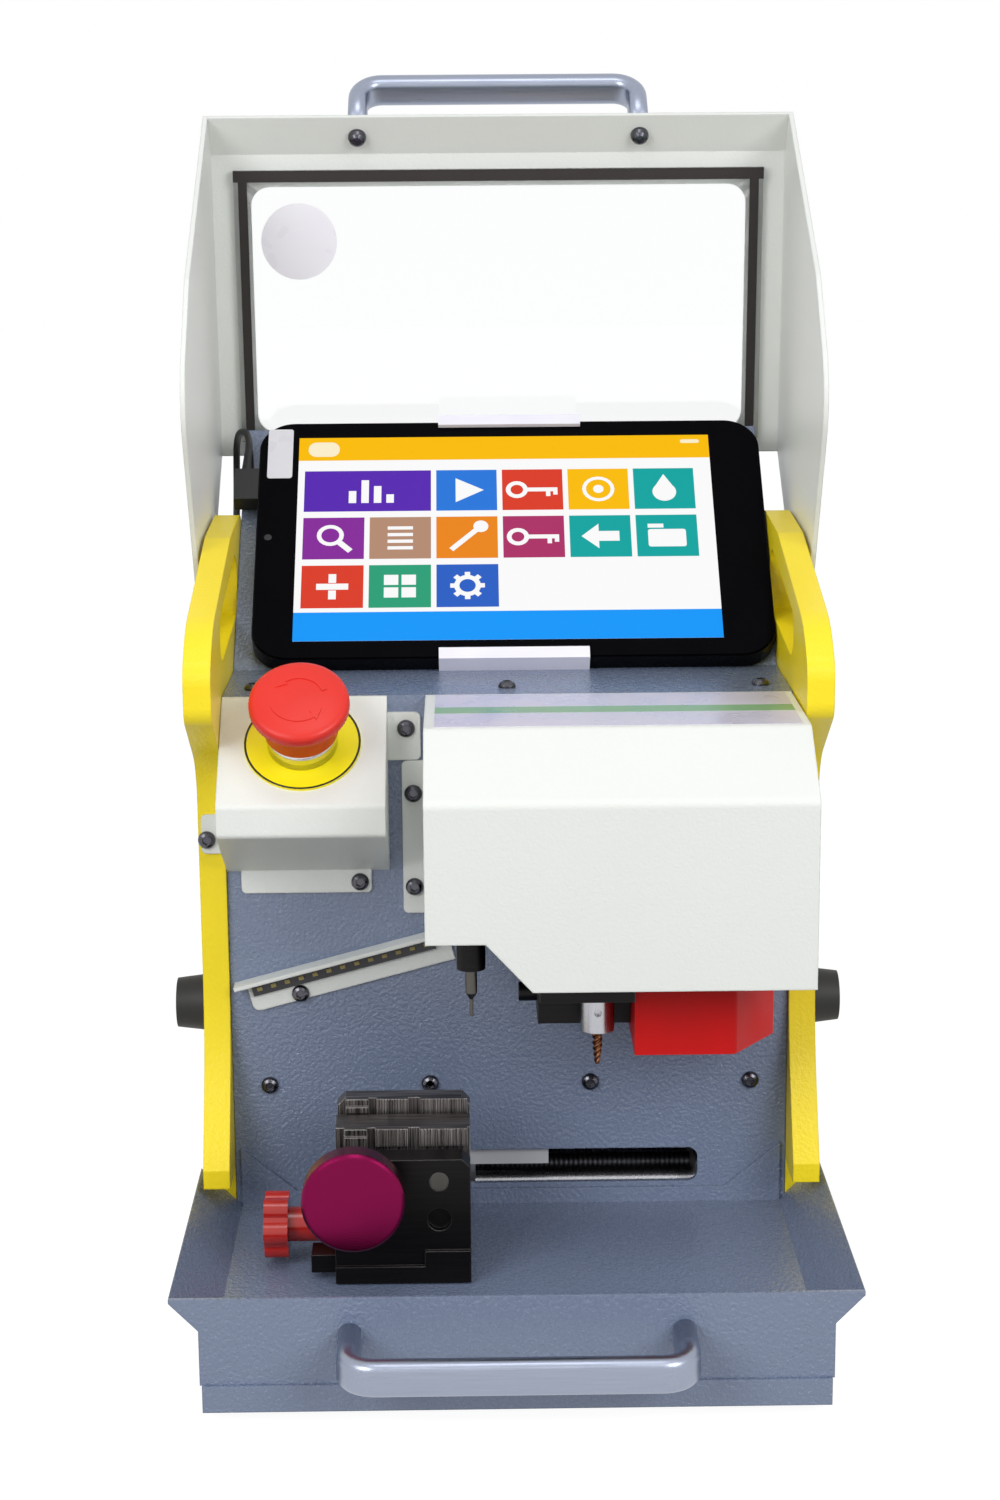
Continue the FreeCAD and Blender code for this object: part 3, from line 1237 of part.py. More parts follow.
finish("x_motor", square_motor("x_motor", "x", X_RIGHT, f"{X_RIGHT} + motor_length",
                               f"{X_SCREW_Y} - motor_face / 2", f"{X_SCREW_Y} + motor_face / 2",
                               "x_axis_z - motor_face / 2", "x_axis_z + motor_face / 2"))
finish("x_leadscrew",
       rod("x_leadscrew", "X", X_LEFT, X_SCREW_Y, "x_axis_z", "lead_screw_radius", f"{X_RUN} - nut_gap"))
CAR_LEFT = "-carriage_x - carriage_width / 2"
CAR_RIGHT = "-carriage_x + carriage_width / 2"
car_block = span("carriage_block", CAR_LEFT, CAR_RIGHT, "carriage_front", CARRIAGE_BACK, "carriage_bottom",
                 "carriage_top")
saddle = span("saddle", CAR_LEFT, CAR_RIGHT, CARRIAGE_BACK, "saddle_back", "carriage_bottom",
              "arm_bottom - arm_gap")
saddle_wall = span("saddle_wall", CAR_LEFT, CAR_RIGHT, "saddle_back - saddle_wall", "saddle_back",
                   "carriage_bottom",
                   "y_screw_z + motor_face / 2")
ARM_LEFT = "-carriage_x - arm_width / 2"
ARM_RIGHT = "-carriage_x + arm_width / 2"
arm_channel = span("arm_channel", f"{ARM_LEFT} - arm_gap", f"{ARM_RIGHT} + arm_gap",
                   "carriage_front - block_thick",
                   f"{CARRIAGE_BACK} + lug_thick", "arm_bottom - arm_gap", "arm_top + arm_gap")
y_screw_hole = rod("y_screw_hole", "Y", "-carriage_x", CARRIAGE_BACK, "y_screw_z",
                   "lead_screw_radius + running_gap", "saddle_back")
finish("x_carriage",
       cut("x_carriage", fuse("carriage_solid", car_block, saddle, saddle_wall), arm_channel, y_screw_hole,
                         *x_bores("carriage", "nut_gap")))
SHIELD_Y = "panel_sheet + shield_gap"
shield_strip = span("shield_strip", "-carriage_x - shield_width / 2", "-carriage_x + shield_width / 2",
                    SHIELD_Y,
                    f"{SHIELD_Y} + shield_thick", "shield_bottom", "shield_top")
shield_seat = span("shield_seat", CAR_LEFT, CAR_RIGHT, SHIELD_Y, "carriage_front", "shield_bottom",
                   "shield_top")
finish("slot_shield", cut("slot_shield", fuse("shield_solid", shield_strip, shield_seat), arm_channel))

# Y axis: the arm that carries the clamp, its lead screw and motor, all on the carriage
finish("y_motor", square_motor("y_motor", "y", "-carriage_x - motor_face / 2", "-carriage_x + motor_face / 2",
                               "saddle_back", "saddle_back + motor_length",
                               "y_screw_z - motor_face / 2", "y_screw_z + motor_face / 2"))
finish("y_leadscrew",
       rod("y_leadscrew", "-Y", "-carriage_x", "saddle_back - nut_gap", "y_screw_z", "lead_screw_radius",
                          f"saddle_back - ({CARRIAGE_BACK}) - 2 * pan_wall"))
arm_bar = span("arm_bar", ARM_LEFT, ARM_RIGHT, "-arm_front", "arm_back + lug_thick", "arm_bottom", "arm_top")
lug = span("arm_lug", ARM_LEFT, ARM_RIGHT, "arm_back", "arm_back + lug_thick", "arm_bottom", "lug_top")
lug_bore = rod("lug_bore", "Y", "-carriage_x", "arm_back - lug_thick", "y_screw_z",
               "lead_screw_radius + nut_gap", "3 * lug_thick")
finish("y_arm", cut("y_arm", fuse("arm_solid", arm_bar, lug), lug_bore))


# Key clamp: body, fixed jaw, moving jaw, serrated pads, closing knob, lock knob and dowel
def serrated(name, width, x, y, top):
    """A pad with upright teeth on its front face; its back lies on the face at y."""
    body = plate(name, "XZ", [
        ("0", "0"),
        (width, "0"),
        (width, "pad_drop"),
        ("0", "pad_drop"),
    ], "pad_thick")
    notch = outline(body, name + "_notch", "XY", [
        ("tooth_pitch / 4", "-tooth_depth"),
        ("tooth_pitch * 3 / 4", "-tooth_depth"),
        ("tooth_pitch / 2", "tooth_depth"),
    ])
    groove = body.newObject("PartDesign::Pocket", name + "_groove")
    groove.Profile = notch
    groove.Type = "ThroughAll"
    groove.Midplane = True
    doc.recompute()
    row = body.newObject("PartDesign::LinearPattern", name + "_teeth")
    row.Originals = [groove]
    row.Direction = (notch, ["H_Axis"])
    count = int(size(width) / size("tooth_pitch"))
    bind(row, Length=f"tooth_pitch * {count - 1}")
    row.Occurrences = count
    body.Tip = row
    return place(body, x, f"{y} - pad_thick", f"{top} - pad_drop")


def pads(name, left, y, top, sill):
    """The row of pads on one jaw; the small one has a second step down to the sill."""
    small_end = f"{left} + pad_small"
    middle_start = f"{small_end} + pad_space"
    large_start = f"{middle_start} + pad_middle + pad_space_wide"
    small = span(f"{name}_small_pad", left, small_end, f"{y} - pad_thick", y, f"{top} - pad_drop", top)
    step = span(f"{name}_small_step", left, small_end, f"{y} - pad_thick - pad_step", y, sill,
                f"{top} - pad_lip")
    middle = serrated(f"{name}_middle_pad", "pad_middle", middle_start, y, top)
    large = serrated(f"{name}_large_pad", "pad_large", large_start, y, top)
    return [small, step, middle, large]


DECK_BACK = "-clamp_back"
WALL_BACK = "-clamp_front + clamp_wall"
FIXED_FACE = "-clamp_back - jaw_back_thick"
MOVING_BACK = "-clamp_back - jaw_back_thick - pad_thick - jaw_mouth"
MOVING_FACE = "-clamp_back - jaw_back_thick - pad_thick - jaw_mouth - jaw_front_thick"
PAD_LEFT = "-clamp_left + pad_inset"
vice = plate("vice", "XZ", [
    ("-clamp_left", "clamp_bottom"),
    ("-clamp_right", "clamp_bottom"),
    ("-clamp_right", "clamp_deck"),
    ("-clamp_left", "clamp_deck"),
], "clamp_front - clamp_back", y="-clamp_front")
vice_wall = plate("vice_wall", "XZ", [
    ("-clamp_left", "clamp_bottom"),
    ("-clamp_right", "clamp_bottom"),
    ("-clamp_right", "clamp_wall_top - clamp_chamfer"),
    ("-clamp_right - clamp_chamfer", "clamp_wall_top"),
    ("-clamp_wall_left + clamp_chamfer", "clamp_wall_top"),
    ("-clamp_wall_left", "clamp_wall_top - clamp_chamfer"),
    ("-clamp_wall_left", "jaw_tongue_bottom"),
    ("-clamp_left", "jaw_tongue_bottom"),
], "clamp_wall", y="-clamp_front")
toe = span("clamp_toe_block", "-clamp_left - clamp_toe", "-clamp_left + clamp_toe", "-clamp_toe_front",
           "-clamp_toe_back",
           "clamp_toe_bottom", "clamp_toe_top")
plinth = span("plinth", "-clamp_left", "-plinth_right", "-clamp_front - plinth_thick",
              "-clamp_front + plinth_thick",
              "clamp_bottom", "plinth_top")
heel = span("heel", "-heel_left", "-clamp_right", "-clamp_front - plinth_thick",
            "-clamp_front + plinth_thick",
            "clamp_bottom", "heel_top")
recess = rod("recess", "Y", "-pin_x", "-clamp_front - recess_depth", "recess_z", "recess_radius",
             "2 * recess_depth")
tongue_pocket = span("tongue_pocket", "-knob_x - jaw_tongue_width / 2 - jaw_gap",
                     "-knob_x + jaw_tongue_width / 2 + jaw_gap",
                     WALL_BACK, FIXED_FACE, "jaw_tongue_bottom - jaw_gap", "jaw_back_top")
knob_bore = rod("knob_bore", "Y", "-knob_x", "-2 * clamp_front", "knob_z", "knob_screw + running_gap",
                "clamp_front + 2 * clamp_wall")
lock_bore = rod("lock_bore", "X", "-2 * clamp_left", "-lock_y", "lock_z", "lock_stud + running_gap",
                "clamp_left + lock_stud_length + jaw_gap")
pin_bore = rod("pin_bore", "Y", "-pin_x", "-2 * clamp_front", "pin_z", "pin_radius + running_gap",
               "clamp_front + pin_length")
finish("clamp_body",
       cut("clamp_body", fuse("vice_solid", vice, vice_wall, toe, plinth, heel), tongue_pocket, knob_bore,
                         lock_bore, pin_bore, recess))
finish("clamp_pin", rod("clamp_pin", "Y", "-pin_x", "-clamp_front", "pin_z", "pin_radius", "pin_length"))
fixed_block = plate("fixed_jaw_block", "XZ", [
    ("-clamp_left", "clamp_deck"),
    ("-clamp_right", "clamp_deck"),
    ("-clamp_right", "jaw_back_top - jaw_chamfer"),
    ("-clamp_right - jaw_chamfer", "jaw_back_top"),
    ("-clamp_left + jaw_chamfer", "jaw_back_top"),
    ("-clamp_left", "jaw_back_top - jaw_chamfer"),
], "jaw_plate_thick", y=FIXED_FACE)
fixed_pads = pads("fixed", PAD_LEFT, FIXED_FACE, "jaw_back_top", "jaw_front_top + jaw_gap")
finish("clamp_fixed_jaw", fuse("clamp_fixed_jaw", fixed_block, *fixed_pads))
moving_block = span("moving_jaw_block", "-clamp_left", "-clamp_right", MOVING_FACE, MOVING_BACK,
                    "clamp_deck + jaw_gap",
                    "jaw_front_top")
tongue = span("jaw_tongue", "-knob_x - jaw_tongue_width / 2", "-knob_x + jaw_tongue_width / 2", MOVING_FACE,
              MOVING_BACK,
              "jaw_tongue_bottom", "clamp_deck + 2 * jaw_gap")
tongue_bore = rod("tongue_bore", "Y", "-knob_x", "-2 * clamp_front", "knob_z", "knob_screw + jaw_gap",
                  "2 * clamp_front")
moving_pads = pads("moving", PAD_LEFT, MOVING_FACE, "jaw_front_top", "jaw_front_top - pad_drop")
moving_solid = fuse("moving_solid", moving_block, tongue, *moving_pads)
finish("clamp_moving_jaw", cut("clamp_moving_jaw", moving_solid, tongue_bore))
KNOB_BACK = "-clamp_front - knob_standoff"
KNOB_EDGE_Y = "-clamp_front - knob_standoff - knob_thick"
knob_disc = rod("knob_disc", "Y", "-knob_x", f"{KNOB_EDGE_Y} + knob_edge", "knob_z", "knob_radius",
                "knob_thick - 2 * knob_edge")
knob_front = taper("knob_front", "-Y", "-knob_x", f"{KNOB_EDGE_Y} + knob_edge", "knob_z", "knob_radius",
                   "knob_radius - knob_edge",
                   "knob_edge")
knob_rear = taper("knob_rear", "Y", "-knob_x", f"{KNOB_BACK} - knob_edge", "knob_z", "knob_radius",
                  "knob_radius - knob_edge",
                  "knob_edge")
knob_boss = rod("knob_boss", "Y", "-knob_x", KNOB_BACK, "knob_z", "lock_neck", "knob_standoff - jaw_gap")
knob_screw = rod("knob_screw", "Y", "-knob_x", KNOB_BACK, "knob_z", "knob_screw",
                 f"{MOVING_BACK} - ({KNOB_BACK}) - knob_edge")
finish("clamp_knob", fuse("clamp_knob", knob_disc, knob_front, knob_rear, knob_boss, knob_screw))
LOCK_FACE = "-clamp_left - jaw_gap"
LOCK_HEAD = "-clamp_left - jaw_gap - lock_neck_length"
lock_neck = rod("lock_neck_shaft", "-X", LOCK_FACE, "-lock_y", "lock_z", "lock_neck", "lock_neck_length")
lock_core = rod("lock_core", "-X", LOCK_HEAD, "-lock_y", "lock_z", "lock_head - lock_lobe / 2",
                "lock_head_thick")
LOBES = 6
lobes = [rod(f"lock_lobe_{k}", "-X", LOCK_HEAD, f"-lock_y + (lock_head - lock_lobe) * cos({k * 360 / LOBES})",
             f"lock_z + (lock_head - lock_lobe) * sin({k * 360 / LOBES})", "lock_lobe", "lock_head_thick")
         for k in range(LOBES)]
lock_stud = rod("lock_stud_shaft", "X", LOCK_FACE, "-lock_y", "lock_z", "lock_stud", "lock_stud_length")
finish("lock_knob", fuse("lock_knob", lock_neck, lock_core, lock_stud, *lobes))

# Z axis: two upright rods between blocks behind the panel, a lead screw and its motor
Z_TOP = "ledge_height - panel_sheet - seam_gap"
rods_z = [rod(f"z_rod_{k}", "Z", x, "z_rod_y", "z_block_bottom", "rod_radius", f"{Z_TOP} - z_block_bottom")
          for k, x in enumerate(("z_rod_left", "z_rod_right"))]
finish("z_rods", group("z_rods", rods_z))


def z_bores(name, screw_gap):
    """The holes for both rods and the lead screw, right through along Z."""
    holes = [rod(f"{name}_rod_hole_{k}", "Z", x, "z_rod_y", "0", "rod_radius + running_gap",
                 "2 * ledge_height")
             for k, x in enumerate(("z_rod_left", "z_rod_right"))]
    holes.append(rod(f"{name}_screw_hole", "Z", "z_screw_x", "z_screw_y", "0",
                     f"lead_screw_radius + {screw_gap}",
                     "2 * ledge_height"))
    return holes


blocks_z = []
for name, z0, z1 in (("foot", "z_block_bottom", "z_block_bottom + block_thick"),
                     ("head", "z_block_top", Z_TOP)):
    block = span(f"z_block_{name}", "head_slide_left", "head_slide_right", "panel_sheet",
                 "z_screw_y + motor_face / 2", z0, z1)
    blocks_z.append(cut(f"z_end_{name}", block, *z_bores(f"z_end_{name}", "running_gap")))
finish("z_end_blocks", group("z_end_blocks", blocks_z))
finish("z_motor", square_motor("z_motor", "z", "z_screw_x - motor_face / 2", "z_screw_x + motor_face / 2",
                               "z_screw_y - motor_face / 2", "z_screw_y + motor_face / 2",
                               "z_block_bottom - z_motor_length", "z_block_bottom"))
finish("z_leadscrew",
       rod("z_leadscrew", "Z", "z_screw_x", "z_screw_y", "z_block_bottom + nut_gap", "lead_screw_radius",
                          f"{Z_TOP} - z_block_bottom - 2 * nut_gap"))

# Cutting head: slide, neck through the panel, front block, probe arm and nose
TOOL_Y = "-tool_reach"
slide = span("head_slide", "head_slide_left", "head_slide_right", "head_slide_front", "head_slide_back",
             "head_slide_bottom", "head_slide_top")
neck = span("head_neck", "head_slide_left + neck_margin", "head_slide_right - neck_margin",
            "-nose_back - neck_margin",
            "head_slide_front", "head_slide_bottom + neck_margin", "head_slide_top - neck_margin")
front = span("head_front_block", "head_left", "head_right", "-head_front", "-nose_back", "head_bottom",
             "head_top")
nose = span("head_nose", "head_left", "head_right", "-nose_front", "-nose_back", "nose_bottom", "head_bottom")
ARM_TOP_Z = "probe_arm_bottom + probe_length / 2"
probe_arm = span("probe_arm", "-probe_x", "head_left", f"{TOOL_Y} - probe_boss", f"{TOOL_Y} + probe_boss",
                 "probe_arm_bottom", ARM_TOP_Z)
probe_boss = rod("probe_boss_barrel", "Z", "-probe_x", TOOL_Y, "probe_boss_bottom", "probe_boss",
                 f"{ARM_TOP_Z} - probe_boss_bottom")
motor_shelf = span("motor_shelf", "head_right", "guard_right", "-guard_front", "-guard_back",
                   "head_top - motor_plate", "head_top")
head_screw = rod("head_screw", "-X", "head_left", "-head_screw_y", "head_screw_z", "head_screw_radius",
                 "head_screw_length")
head_solid = fuse("head_solid", slide, neck, front, nose, probe_arm, probe_boss, motor_shelf, head_screw)
spindle_bore = rod("spindle_bore", "Z", "cutter_x", TOOL_Y, "0", "spindle_radius + running_gap",
                   "2 * ledge_height")
probe_bore = rod("probe_bore", "Z", "-probe_x", TOOL_Y, "0", "probe_radius + running_gap", "2 * ledge_height")
shaft_hole = rod("shaft_hole", "Z", "motor_x", "-motor_y", "0", "motor_shaft + nut_gap", "2 * ledge_height")
finish("spindle_head",
       cut("spindle_head", head_solid, spindle_bore, probe_bore, shaft_hole, *z_bores("head", "nut_gap")))
finish("spindle_motor",
       rod("spindle_motor", "-Z", "motor_x", "-motor_y", "head_top - motor_plate", "spindle_motor_radius",
                            "spindle_motor_length"))
motor_shaft = rod("motor_shaft_rod", "Z", "motor_x", "-motor_y", "head_top - motor_plate + nut_gap",
                  "motor_shaft",
                  "pulley_bottom + pulley_height - head_top + motor_plate - nut_gap")
motor_wheel = rod("motor_wheel", "Z", "motor_x", "-motor_y", "pulley_bottom", "motor_pulley", "pulley_height")
finish("motor_pulley", fuse("motor_pulley", motor_shaft, motor_wheel))


def belt_loop(name, swell):
    """A solid the shape of a belt round both pulleys, its face lying a swell outside them."""
    first = FreeCAD.Vector(size("cutter_x"), -size("tool_reach"), 0)
    second = FreeCAD.Vector(size("motor_x"), -size("motor_y"), 0)
    radius = size("spindle_pulley") + swell
    other = size("motor_pulley") + swell
    run = second - first
    heading = math.atan2(run.y, run.x)
    wrap = math.acos((radius - other) / run.Length)

    def spot(centre, reach, angle):
        return centre + FreeCAD.Vector(math.cos(angle), math.sin(angle), 0) * reach

    wire = Part.Wire([
        Part.LineSegment(spot(first, radius, heading + wrap), spot(second, other, heading + wrap)).toShape(),
        Part.Arc(spot(second, other, heading + wrap), spot(second, other, heading),
                 spot(second, other, heading - wrap)).toShape(),
        Part.LineSegment(spot(second, other, heading - wrap), spot(first, radius, heading - wrap)).toShape(),
        Part.Arc(spot(first, radius, heading - wrap), spot(first, radius, heading + math.pi),
                 spot(first, radius, heading + wrap)).toShape(),
    ])
    height = size("pulley_height") - 2 * size("knob_edge")
    loop = doc.addObject("Part::Feature", name)
    loop.Shape = Part.Face(wire).extrude(FreeCAD.Vector(0, 0, height))
    return place(loop, "0", "0", "pulley_bottom + knob_edge")


finish("drive_belt", cut("drive_belt", belt_loop("belt_outside", size("belt_gap") + size("belt_thick")),
                         belt_loop("belt_inside", size("belt_gap"))))
finish("guard_block", plate("guard_block", "XY", [
    ("head_right", "-guard_front"),
    ("guard_corner", "-guard_front"),
    ("guard_right", "-guard_side"),
    ("guard_right", "-guard_back"),
    ("head_right", "-guard_back"),
], "guard_top - guard_bottom", z="guard_bottom",
                            rounds=[(1, "guard_round"), (2, "guard_round"), (3, "guard_round")]))

# Tools: spindle with its pulley and collet, the cutter and the probe
COLLET_TOP = "head_bottom - nut_gap"
shaft = rod("spindle_shaft", "Z", "cutter_x", TOOL_Y, COLLET_TOP, "spindle_radius",
            f"spindle_top - ({COLLET_TOP})")
wheel = rod("spindle_wheel", "Z", "cutter_x", TOOL_Y, "pulley_bottom", "spindle_pulley", "pulley_height")
collet = rod("collet", "Z", "cutter_x", TOOL_Y, "collet_bottom", "collet_radius",
             f"{COLLET_TOP} - collet_bottom")
collet_hole = rod("collet_hole", "Z", "cutter_x", TOOL_Y, "0", "collet_bore", "head_bottom - knob_edge")
set_screw = rod("set_screw_hole", "Y", "cutter_x", f"{TOOL_Y} - 2 * collet_radius",
                "collet_bottom + set_screw_rise",
                "set_screw_radius", "collet_radius + set_screw_depth")
finish("spindle", cut("spindle", fuse("spindle_solid", shaft, wheel, collet), collet_hole, set_screw))
flute = taper("cutter_flute_cone", "-Z", "cutter_x", TOOL_Y, "cutter_tip + cutter_flute", "cutter_radius",
              "cutter_tip_radius",
              "cutter_flute")
shank = rod("cutter_shank", "Z", "cutter_x", TOOL_Y, "cutter_tip + cutter_flute", "cutter_radius",
            "head_bottom - knob_edge - nut_gap - cutter_tip - cutter_flute")
finish("cutter", fuse("cutter", flute, shank))
PROBE_TIP = "probe_boss_bottom - probe_drop - probe_tip_length / 2"
PROBE_SHOULDER = f"{PROBE_TIP} + probe_tip_length"
probe_cone = taper("probe_cone", "-Z", "-probe_x", TOOL_Y, PROBE_SHOULDER, "probe_radius", "probe_tip_radius",
                   "probe_cone_length")
probe_needle = rod("probe_needle", "Z", "-probe_x", TOOL_Y, PROBE_TIP, "probe_tip_radius",
                   "probe_tip_length - probe_cone_length")
probe_shank = rod("probe_shank", "Z", "-probe_x", TOOL_Y, PROBE_SHOULDER, "probe_radius",
                  "probe_length - probe_tip_length")
finish("probe_pin", fuse("probe_pin", probe_cone, probe_needle, probe_shank))

# Control board on posts on the back wall
board = span("board", "-board_width / 2", "board_width / 2", f"{BACK} - board_post - board_thick",
             f"{BACK} - board_post",
             "board_bottom", "board_bottom + board_height")
BOARD_POST_Z = ("board_bottom + board_post", "board_bottom + board_height - board_post")
BOARD_POSTS = [(side, z) for side in (-1, 1) for z in BOARD_POST_Z]
posts = [rod(f"board_post_{k}", "-Y", f"{side} * (board_width / 2 - board_post)", BACK, z,
             "board_post_radius",
             "board_post") for k, (side, z) in enumerate(BOARD_POSTS)]
finish("control_board", fuse("control_board", board, *posts))

doc.recompute()
for obj in doc.Objects:
    if "Invalid" in obj.State or "Error" in obj.State:
        raise SystemExit(f"{obj.Name} did not build: {obj.State}")
os.makedirs("parts", exist_ok=True)
for obj in PIECES:
    if obj.Shape.isNull() or not obj.Shape.isValid() or not obj.Shape.Solids:
        raise SystemExit(f"{obj.Label} has no valid solid")
    obj.Shape.exportStep(f"parts/{obj.Label}.step")
print(len(PIECES), "pieces written")
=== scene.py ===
import math

import bmesh
import bpy
from mathutils import Matrix, Vector


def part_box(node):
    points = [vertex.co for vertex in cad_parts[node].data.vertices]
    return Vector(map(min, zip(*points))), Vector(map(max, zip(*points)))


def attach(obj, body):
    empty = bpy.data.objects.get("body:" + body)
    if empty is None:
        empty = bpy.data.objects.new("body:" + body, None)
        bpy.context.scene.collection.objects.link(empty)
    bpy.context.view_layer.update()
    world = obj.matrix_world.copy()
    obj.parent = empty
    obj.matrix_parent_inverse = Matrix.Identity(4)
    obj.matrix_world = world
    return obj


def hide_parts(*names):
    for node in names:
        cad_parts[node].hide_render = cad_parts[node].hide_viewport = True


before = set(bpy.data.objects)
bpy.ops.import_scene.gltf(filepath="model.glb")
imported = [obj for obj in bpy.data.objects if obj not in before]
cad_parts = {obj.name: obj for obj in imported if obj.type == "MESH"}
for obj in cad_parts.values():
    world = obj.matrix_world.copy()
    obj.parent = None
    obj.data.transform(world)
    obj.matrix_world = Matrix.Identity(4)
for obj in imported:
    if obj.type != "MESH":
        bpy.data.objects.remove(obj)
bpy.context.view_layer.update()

# Key duplicating machine with its hood open. Places are given in millimetres from the front face of the work
# panel and the underside of the base, as in the part's source, and turned to metres by at().
PANEL_SETBACK = 10.354
FOOT_HEIGHT = 5.0
MM = 0.001

LEDGE_Z = 232.8
LEDGE_DEPTH = 53.5
DESK_TILT = math.radians(42.45)
STOP_TILT = math.radians(40.0)
LID_TILT = math.radians(95.1)
BROW_TILT = math.radians(127.0)
LID_CROWN = (154.3, 435.0)
BROW_LENGTH = 18.8
LID_SHEET = 2.0


def at(x, y, z):
    """A point in metres in the finished frame."""
    return Vector((x, y - PANEL_SETBACK, z + FOOT_HEIGHT)) * MM


def slope(origin, tilt):
    """A plane that rises to the back: takes a place across, up the slope and out of it."""
    def spot(across, up, out):
        return at(across, origin[0] + up * math.cos(tilt) - out * math.sin(tilt),
                  origin[1] + up * math.sin(tilt) + out * math.cos(tilt))
    return spot


on_desk = slope((LEDGE_DEPTH, LEDGE_Z), DESK_TILT)
on_stop = slope((0, LEDGE_Z), STOP_TILT)
on_lid = slope(LID_CROWN, LID_TILT)
on_brow = slope(LID_CROWN, BROW_TILT)


def on_ledge(across, back, out):
    return at(across, back, LEDGE_Z + out)


# Camera, fitted to the photograph's parallel edges and to the tablet's screen
FOCAL_PX = 2674.4
IMAGE_HEIGHT = 1500
SENSOR = 36.0
CAMERA_SPOT = (-15.45, -999.34, 433.48)
CAMERA_PITCH = math.radians(12.55)
CAMERA_YAW = math.radians(-0.71)
CAMERA_ROLL = math.radians(-0.43)
camera = bpy.data.objects.new("camera", bpy.data.cameras.new("camera"))
bpy.context.scene.collection.objects.link(camera)
camera.data.sensor_fit = "VERTICAL"
camera.data.sensor_height = SENSOR
camera.data.lens = FOCAL_PX / IMAGE_HEIGHT * SENSOR
level = Vector((math.cos(CAMERA_YAW), math.sin(CAMERA_YAW), 0))
ahead = Vector((-math.sin(CAMERA_YAW), math.cos(CAMERA_YAW), 0))
forward = ahead * math.cos(CAMERA_PITCH) - Vector((0, 0, 1)) * math.sin(CAMERA_PITCH)
upright = ahead * math.sin(CAMERA_PITCH) + Vector((0, 0, 1)) * math.cos(CAMERA_PITCH)
right = level * math.cos(CAMERA_ROLL) + upright * math.sin(CAMERA_ROLL)
above = upright * math.cos(CAMERA_ROLL) - level * math.sin(CAMERA_ROLL)
turned = Matrix((right, above, -forward)).transposed().to_4x4()
camera.matrix_world = Matrix.Translation(at(*CAMERA_SPOT)) @ turned
bpy.context.scene.camera = camera
bpy.context.scene.view_settings.view_transform = "Standard"


def linear(code):
    """An sRGB hex colour as linear values, opaque."""
    parts = [int(code[k:k + 2], 16) / 255 for k in (1, 3, 5)]
    return tuple(p / 12.92 if p <= 0.04045 else ((p + 0.055) / 1.055) ** 2.4 for p in parts) + (1.0,)


def add(tree, kind, sockets=None, **settings):
    """Adds a node; sockets holds its inputs by name or number, as a constant or as another node's output."""
    made = tree.nodes.new(kind)
    for key, value in settings.items():
        setattr(made, key, value)
    for key, value in (sockets or {}).items():
        if isinstance(value, bpy.types.NodeSocket):
            tree.links.new(value, made.inputs[key])
        else:
            made.inputs[key].default_value = value
    return made


def new_material(name, sockets):
    """A material with one principled shader, and that shader and its tree."""
    material = bpy.data.materials.new(name)
    material.use_nodes = True
    tree = material.node_tree
    tree.nodes.clear()
    shader = add(tree, "ShaderNodeBsdfPrincipled", sockets)
    add(tree, "ShaderNodeOutputMaterial", {"Surface": shader.outputs["BSDF"]})
    return material, tree, shader


def per_metre(millimetres):
    return 1 / (millimetres * MM)


def object_place(tree, **sockets):
    """Object coordinates through a mapping."""
    place = add(tree, "ShaderNodeTexCoord").outputs["Object"]
    return add(tree, "ShaderNodeMapping", {"Vector": place, **sockets}).outputs["Vector"]


def soft_edge(tree, radius):
    """A normal that rounds the edges by a few tenths of a millimetre, as a coat or a tumbled edge does."""
    return add(tree, "ShaderNodeBevel", {"Radius": radius * MM}, samples=3).outputs["Normal"]


# Sizes in millimetres of the cloudiness in coats and mouldings, and how much longer than wide a drawn line is
COAT_CLOUDS = 60.0
MOULD_CLOUDS = 18.0
LINE_STRETCH = 60.0
CLEAR_ROUGHNESS = 0.12


def powder_coat(name, colour, shade, grain, lift, roughness, gloss=0.0):
    """Baked powder coat: a pebbled skin with faint cloudiness, under a clear layer where it is glossy."""
    material, tree, shader = new_material(name, {"Coat Weight": gloss, "Coat Roughness": CLEAR_ROUGHNESS})
    place = object_place(tree)
    pebbles = add(tree, "ShaderNodeTexNoise", {"Vector": place, "Scale": per_metre(grain), "Detail": 2.0,
                                               "Roughness": 0.55})
    clouds = add(tree, "ShaderNodeTexNoise", {"Vector": place, "Scale": per_metre(COAT_CLOUDS),
                                              "Detail": 3.0})
    tint = add(tree, "ShaderNodeMix", {0: clouds.outputs["Fac"], 6: linear(shade), 7: linear(colour)},
               data_type="RGBA")
    speck = add(tree, "ShaderNodeMapRange", {0: pebbles.outputs["Fac"], 1: 0.3, 2: 0.7, 3: roughness - 0.04,
                                             4: roughness + 0.05})
    bump = add(tree, "ShaderNodeBump", {"Strength": lift, "Distance": grain * 0.28 * MM,
                                        "Height": pebbles.outputs["Fac"], "Normal": soft_edge(tree, 0.7)})
    tree.links.new(tint.outputs[2], shader.inputs["Base Color"])
    tree.links.new(speck.outputs[0], shader.inputs["Roughness"])
    tree.links.new(bump.outputs["Normal"], shader.inputs["Normal"])
    glints = add(tree, "ShaderNodeBump", {"Strength": 1.0, "Distance": grain * 0.9 * MM,
                                          "Height": pebbles.outputs["Fac"]})
    tree.links.new(glints.outputs["Normal"], shader.inputs["Coat Normal"])
    return material


